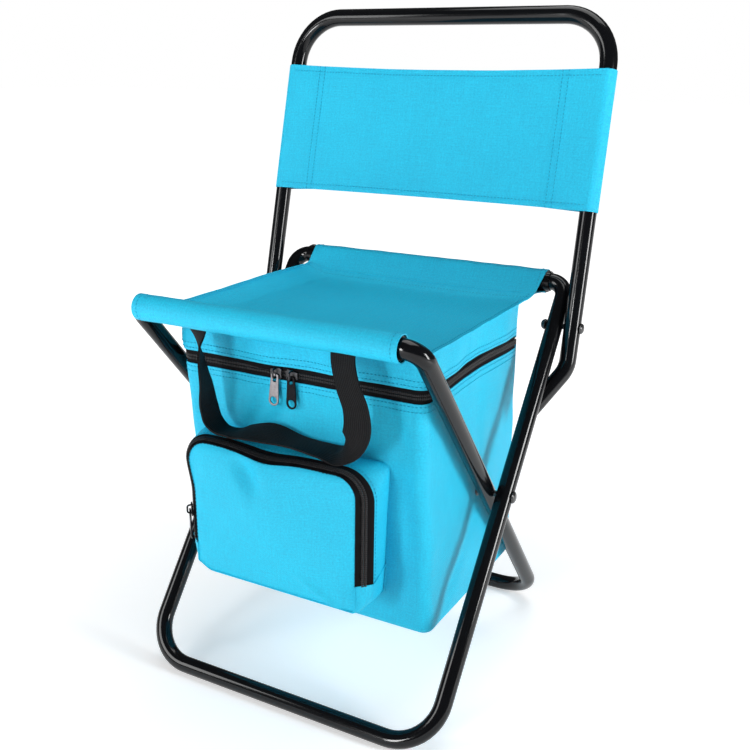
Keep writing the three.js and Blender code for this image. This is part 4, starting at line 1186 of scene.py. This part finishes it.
def pocket_shape(x, z, depth):
    """Pulls the pocket's outline out of true: tucked and lifted at its foot, flared left, dented on top."""
    tuck = POCKET_TAPER * max(0, 1 - depth) * reached(z, *TAPER_UP)
    tuck = tuck + FOOT_TUCK * (1 - abs(depth - 1)) * eased(z, *TUCK_UP)
    flare = POCKET_FLARE * eased(x, *FLARE_ACROSS) * eased(z, *FLARE_UP)
    pressed = TOP_DENT * hump(x, *DENT_ACROSS) - TOP_BULGE * hump(x, *BULGE_ACROSS)
    pressed = pressed * min(1, 0.35 + 0.35 * depth) * eased(z, *PRESS_UP)
    lift = FOOT_LIFT * eased(x, *LIFT_ACROSS) ** 2 * eased(z, *LIFT_UP) * max(0, depth - 1)
    x = x - tuck * np.clip((x - POCKET_MIDDLE) / POCKET_HALF, -1, 1) - flare * min(1, 0.4 + 0.6 * depth)
    return x, z - pressed + lift


def pocket_loop(ring, depth, out=0.0):
    """Points round the pocket: depth 0 lies on the bag, 1 on the zip edge and 2 on the front panel."""
    left, right, low, high, top_corner, foot_corner = (
        float(np.interp(depth, (0, 1, 2), sizes)) for sizes in POCKET_OUTLINES.T
    )
    sx, sz, face = ring.T
    corner = np.interp(sz, (-1, 1), (foot_corner, top_corner))
    x = (left + right) / 2 + sx * ((right - left) / 2 - corner) + (corner + out) * np.cos(face)
    z = np.interp(sz, (-1, 0, 1), (low + foot_corner, ZIP_END, high - top_corner))
    z = z + (corner + out) * np.sin(face)
    x, z = pocket_shape(x, z, depth)
    bag = BAG_FRONT + FRONT_LEAN * reached(z, TAPE_LOW, BAG_BOTTOM) + GUSSET_SINK
    y = bag + (EDGE_Y - bag) * min(1, depth) + (PANEL_Y - EDGE_Y) * max(0, depth - 1)
    return np.stack([x, y, z], -1)


def slant(ring, share, out=0.0):
    """Points across the slanted zip edge, from the gusset at 0 to the front panel at 1."""
    points = pocket_loop(ring, 1 + share, 0.7 * out)
    points[:, 1] -= 0.7 * out
    return points


def crown(x, z):
    """How far the full front panel stands out, with a dent under the handle and a crease at its foot."""
    left, right, low, high = POCKET_OUTLINES[2, :4]
    wide = np.clip(1 - ((x - (left + right) / 2) / ((right - left) / 2)) ** 2, 0, 1)
    tall = reached(z, low, high)
    dent_line = STRAP_AT[0] + STRAP_LEAN * (STRAP_AT[1] - z)
    dent = hump(x, dent_line, STRAP_SIZE[0]) * hump(z, STRAP_AT[1], STRAP_SIZE[1])
    crease_line = CREASE_AT[1] - CREASE_LEAN * (x - CREASE_AT[0])
    crease = hump(x, CREASE_AT[0], CREASE_SIZE[0]) * hump(z, crease_line, CREASE_SIZE[1])
    ripple = np.vectorize(lambda a, b: noise.noise(Vector((a * 15, b * 15, 2.3))))(x, z)
    full = POCKET_CROWN * wide**0.6 * np.sin(np.pi * tall) ** 0.6
    relief = FRONT_RIPPLE * ripple * np.sin(np.pi * tall) - STRAP_DENT * dent * (1 - tall**12)
    return full + np.minimum(1, 3 * wide) * (relief + FOOT_CREASE * crease)


def front_panel(heights):
    """Rows of the pocket's front panel, which narrows round its top corners."""
    left, right, high, radius = POCKET_OUTLINES[2, [0, 1, 3, 4]]
    over = reached(heights, high - radius, high)
    cut = (radius - radius * np.sqrt(1 - over**2))[:, None]
    spread = np.sin(np.linspace(-1, 1, 75) * np.pi / 2 * 0.96)[None, :] / math.sin(np.pi / 2 * 0.96)
    x = (left + right) / 2 + spread * ((right - left) / 2 - cut)
    x, z = pocket_shape(x, np.broadcast_to(heights[:, None], x.shape), 2)
    return np.stack([x, PANEL_Y - crown(x, z), z], -1)


def outward(ring):
    return np.stack([np.cos(ring[:, 2]), np.zeros(len(ring)), np.sin(ring[:, 2])], -1)


gusset_rows = []
for share in np.linspace(0, 1, 15):
    full = math.sin(math.pi * share)
    wall = pocket_loop(pocket_ring, share, POCKET_PUFF * full)
    ripple = GUSSET_RIPPLE * full * waver(wall * (26, 34, 20))
    gusset_rows.append(wall + ripple[:, None] * outward(pocket_ring))
bag_panel("pocket_gusset_cloth", gusset_rows, "bag_body", "pocket_gusset", ring=True)


def welt(name, run, out, beside=(0, -1, 0), radius=0.0008):
    """A seam of the pocket whose turned-in cloth stands up as a thin ridge."""
    rows = np.array([
        run + radius * (math.cos(turn) * out + math.sin(turn) * np.array(beside))
        for turn in np.radians(np.linspace(0, 360, 9))
    ])
    mesh = merged(cloth_mesh(name, rows))
    turned_out(mesh)
    mesh.materials.append(cyan_fabric)
    squashed(placed(name, mesh), "cyan_fabric", "bag_body")


whole_ring = np.concatenate([pocket_ring, pocket_ring[:1]])
welt("pocket_back_welt", pocket_loop(whole_ring, 0.05, WELT_OUT), outward(whole_ring))
welt("pocket_foot_welt", slant(low_ring, 1.0, FOOT_WELT_OUT), outward(low_ring))
for name, end in (("pocket_right_welt", low_ring[:1]), ("pocket_left_welt", low_ring[-1:])):
    across_gusset = [pocket_loop(end, depth, WELT_OUT)[0] for depth in np.linspace(0.08, 1, 14)]
    across_zip = [slant(end, depth, POCKET_PUFF)[0] for depth in np.linspace(0.1, 0.98, 12)]
    welt(name, np.array(across_gusset + across_zip), outward(end), beside=(0, 0, 1), radius=0.0006)
foot_rows = [slant(low_ring, s, POCKET_PUFF * math.sin(math.pi * s)) for s in np.linspace(0, 1, 9)]
bag_panel("pocket_foot_edge", foot_rows, "bag_body", facing=(0, -1, -0.6))
panel_low, panel_high = POCKET_OUTLINES[2, 2:4]
foot_heights = np.linspace(panel_low, ZIP_END, 14)
bag_panel("pocket_foot_panel", front_panel(foot_heights), "bag_body", facing=(0, -1, 0))
flap_heights = panel_high - (panel_high - ZIP_END) * np.linspace(0, 1, 56) ** 1.35
bag_panel("pocket_flap_cloth", front_panel(flap_heights), "pocket_front", "pocket_flap", facing=(0, -1, 0))
lengths = arc_length(slant(pocket_zip_ring, 0.8)[None], 1)[0]
short_wave, long_wave = (lengths * 2 * np.pi / length for length in PUCKER_LENGTHS)
pucker = np.sin(short_wave) + 0.5 * np.sin(long_wave + 1.0)
outer_shares = np.linspace(-ZIP_SPLIT, ZIP_LINE - ZIP_SPLIT, 6)
outer_rows = [slant(pocket_zip_ring, share, TAPE_RISE) for share in outer_shares]
inner_rows = []
for s in np.linspace(0, 1, 7):
    rise = TAPE_RISE + TAPE_PUCKER * math.sin(math.pi * s) * pucker
    inner_rows.append(slant(pocket_zip_ring, s + (1 - s) * (ZIP_LINE + ZIP_SPLIT), rise))
zip_run = slant(pocket_zip_ring, ZIP_LINE, COIL_OUT)
zip_across = slant(pocket_zip_ring, 1.0) - slant(pocket_zip_ring, 0.0)
zip_across /= np.linalg.norm(zip_across, axis=1)[:, None]
half_zip("pocket_zip_outer", outer_rows, zip_run, -zip_across, "bag_body")
half_zip("pocket_zip_inner", inner_rows, zip_run, zip_across, "pocket_front")
flap_rim = slant(pocket_zip_ring, 1.24)
flap_rim[:, 1] = PANEL_Y - crown(flap_rim[:, 0], flap_rim[:, 2]) - SEAM_LIFT
bag_seam("pocket_flap_stitches", [flap_rim], "pocket_front")
bag_seam("pocket_gusset_stitches", [pocket_loop(pocket_zip_ring, 0.9, GUSSET_SEAM_OUT)], "bag_body")
slider(
    "pocket_slider_metal", seated((0, 0, -1), SLANT_WAY, POCKET_SLIDER),
    "pocket_zip_slider", "pocket_slider", arch_way=(1, 0), arch_high=0.0057, metal=black_metal,
)
zip_pull(
    "pocket_pull_metal", seated(SLANT_WAY, (0, 0, 1), POCKET_PULL),
    "pocket_zip_pull", "pocket_pull", black_metal,
)


# Carry handle: a loop of 25 mm black ribbed webbing, sewn under the front of the seat at both ends.
# It hangs slack: the left run is twisted, the right one hangs flat, and the loop lies over the pocket.
WEBBING_WIDTH, WEBBING_WALL = 0.025, 0.0017
RIB_PITCH, CHEVRON_PITCH = 0.0019, 0.0013
# The strap's middle, then how far its width is turned forward and tipped up from level, in degrees.
HANDLE_RUN = [
    (-0.077, -0.149, 0.350, 7, 0), (-0.0775, -0.147, 0.343, 20, 4), (-0.0775, -0.1455, 0.333, 42, 7),
    (-0.0755, -0.146, 0.318, 60, 7), (-0.074, -0.144, 0.298, 71, 6), (-0.0755, -0.138, 0.272, 86, 2),
    (-0.073, -0.1355, 0.259, 87, 2), (-0.066, -0.134, 0.252, 83, 4), (-0.054, -0.133, 0.251, 75, 4),
    (-0.040, -0.1335, 0.2545, 72, -6), (-0.018, -0.1335, 0.2575, 77, -20), (0.012, -0.1335, 0.255, 79, -3),
    (0.034, -0.134, 0.2535, 84, -5), (0.053, -0.137, 0.2545, 82, -12), (0.062, -0.142, 0.261, 52, -14),
    (0.070, -0.146, 0.269, 22, -7), (0.0775, -0.150, 0.284, 6, 3), (0.077, -0.151, 0.299, 9, 13),
    (0.069, -0.151, 0.320, 14, 21), (0.064, -0.149, 0.340, 13, 10), (0.064, -0.1475, 0.3505, 12, 3),
]

webbing = Finish("black_webbing", {"Sheen Weight": 0.02, "Sheen Roughness": 0.4, "Specular IOR Level": 0.12})
strap_lay = webbing.node("ShaderNodeUVMap", {"uv_map": "weave"})
cord = (webbing.along(strap_lay, "X") * (2 * math.pi / RIB_PITCH)).sine()
chevron = (webbing.along(strap_lay, "Y") * (2 * math.pi / CHEVRON_PITCH) + cord * 1.5).sine()
fuzz = webbing.speckle(webbing.place(), 1100, 3.0)
webbing.done({
    "Base Color": webbing.mix(
        0.5 * fuzz + 0.25 * chevron, (0.0025, 0.0025, 0.003), (0.009, 0.009, 0.0105)
    ),
    "Roughness": 0.55 + 0.25 * fuzz,
    "Normal": webbing.bump(cord + 0.7 * chevron, 0.00016, 0.8),
})


def smooth_run(rows, count):
    """A smooth curve through rows of numbers, spaced by the length of their first three."""
    rows = np.array(rows, dtype=float)
    knots = arc_length(rows[None, :, :3], 1)[0]
    slope = np.gradient(rows, knots, axis=0)
    at = np.linspace(knots[0], knots[-1], count)
    k = np.clip(np.searchsorted(knots, at) - 1, 0, len(knots) - 2)
    gap = (knots[k + 1] - knots[k])[:, None]
    t = ((at - knots[k]) / (knots[k + 1] - knots[k]))[:, None]
    return (
        (2 * t**3 - 3 * t**2 + 1) * rows[k] + (t**3 - 2 * t**2 + t) * gap * slope[k]
        + (3 * t**2 - 2 * t**3) * rows[k + 1] + (t**3 - t**2) * gap * slope[k + 1]
    )


stations = np.array(HANDLE_RUN)
turn, tilt = np.radians(stations[:, 3:].T)
ways = np.stack([np.cos(tilt) * np.cos(turn), -np.cos(tilt) * np.sin(turn), np.sin(tilt)], -1)
strap_run = smooth_run(np.hstack([stations[:, :3], ways]), 190)
strap_middle, strap_across = strap_run[:, :3], strap_run[:, 3:]
strap_along = np.gradient(strap_middle, axis=0)
strap_along /= np.linalg.norm(strap_along, axis=1)[:, None]
strap_across -= strap_along * np.sum(strap_along * strap_across, axis=1)[:, None]
strap_across /= np.linalg.norm(strap_across, axis=1)[:, None]
share = np.linspace(-0.5, 0.5, 13) * WEBBING_WIDTH
strap_grid = strap_middle[:, None, :] + strap_across[:, None, :] * share[None, :, None]
handle = cloth_piece(
    "handle_webbing", strap_grid, webbing.material, WEBBING_WALL, facing=(0, -1, 0), offset=0.0
)
squashed(handle, "black_webbing", "handle", "carry_handle")
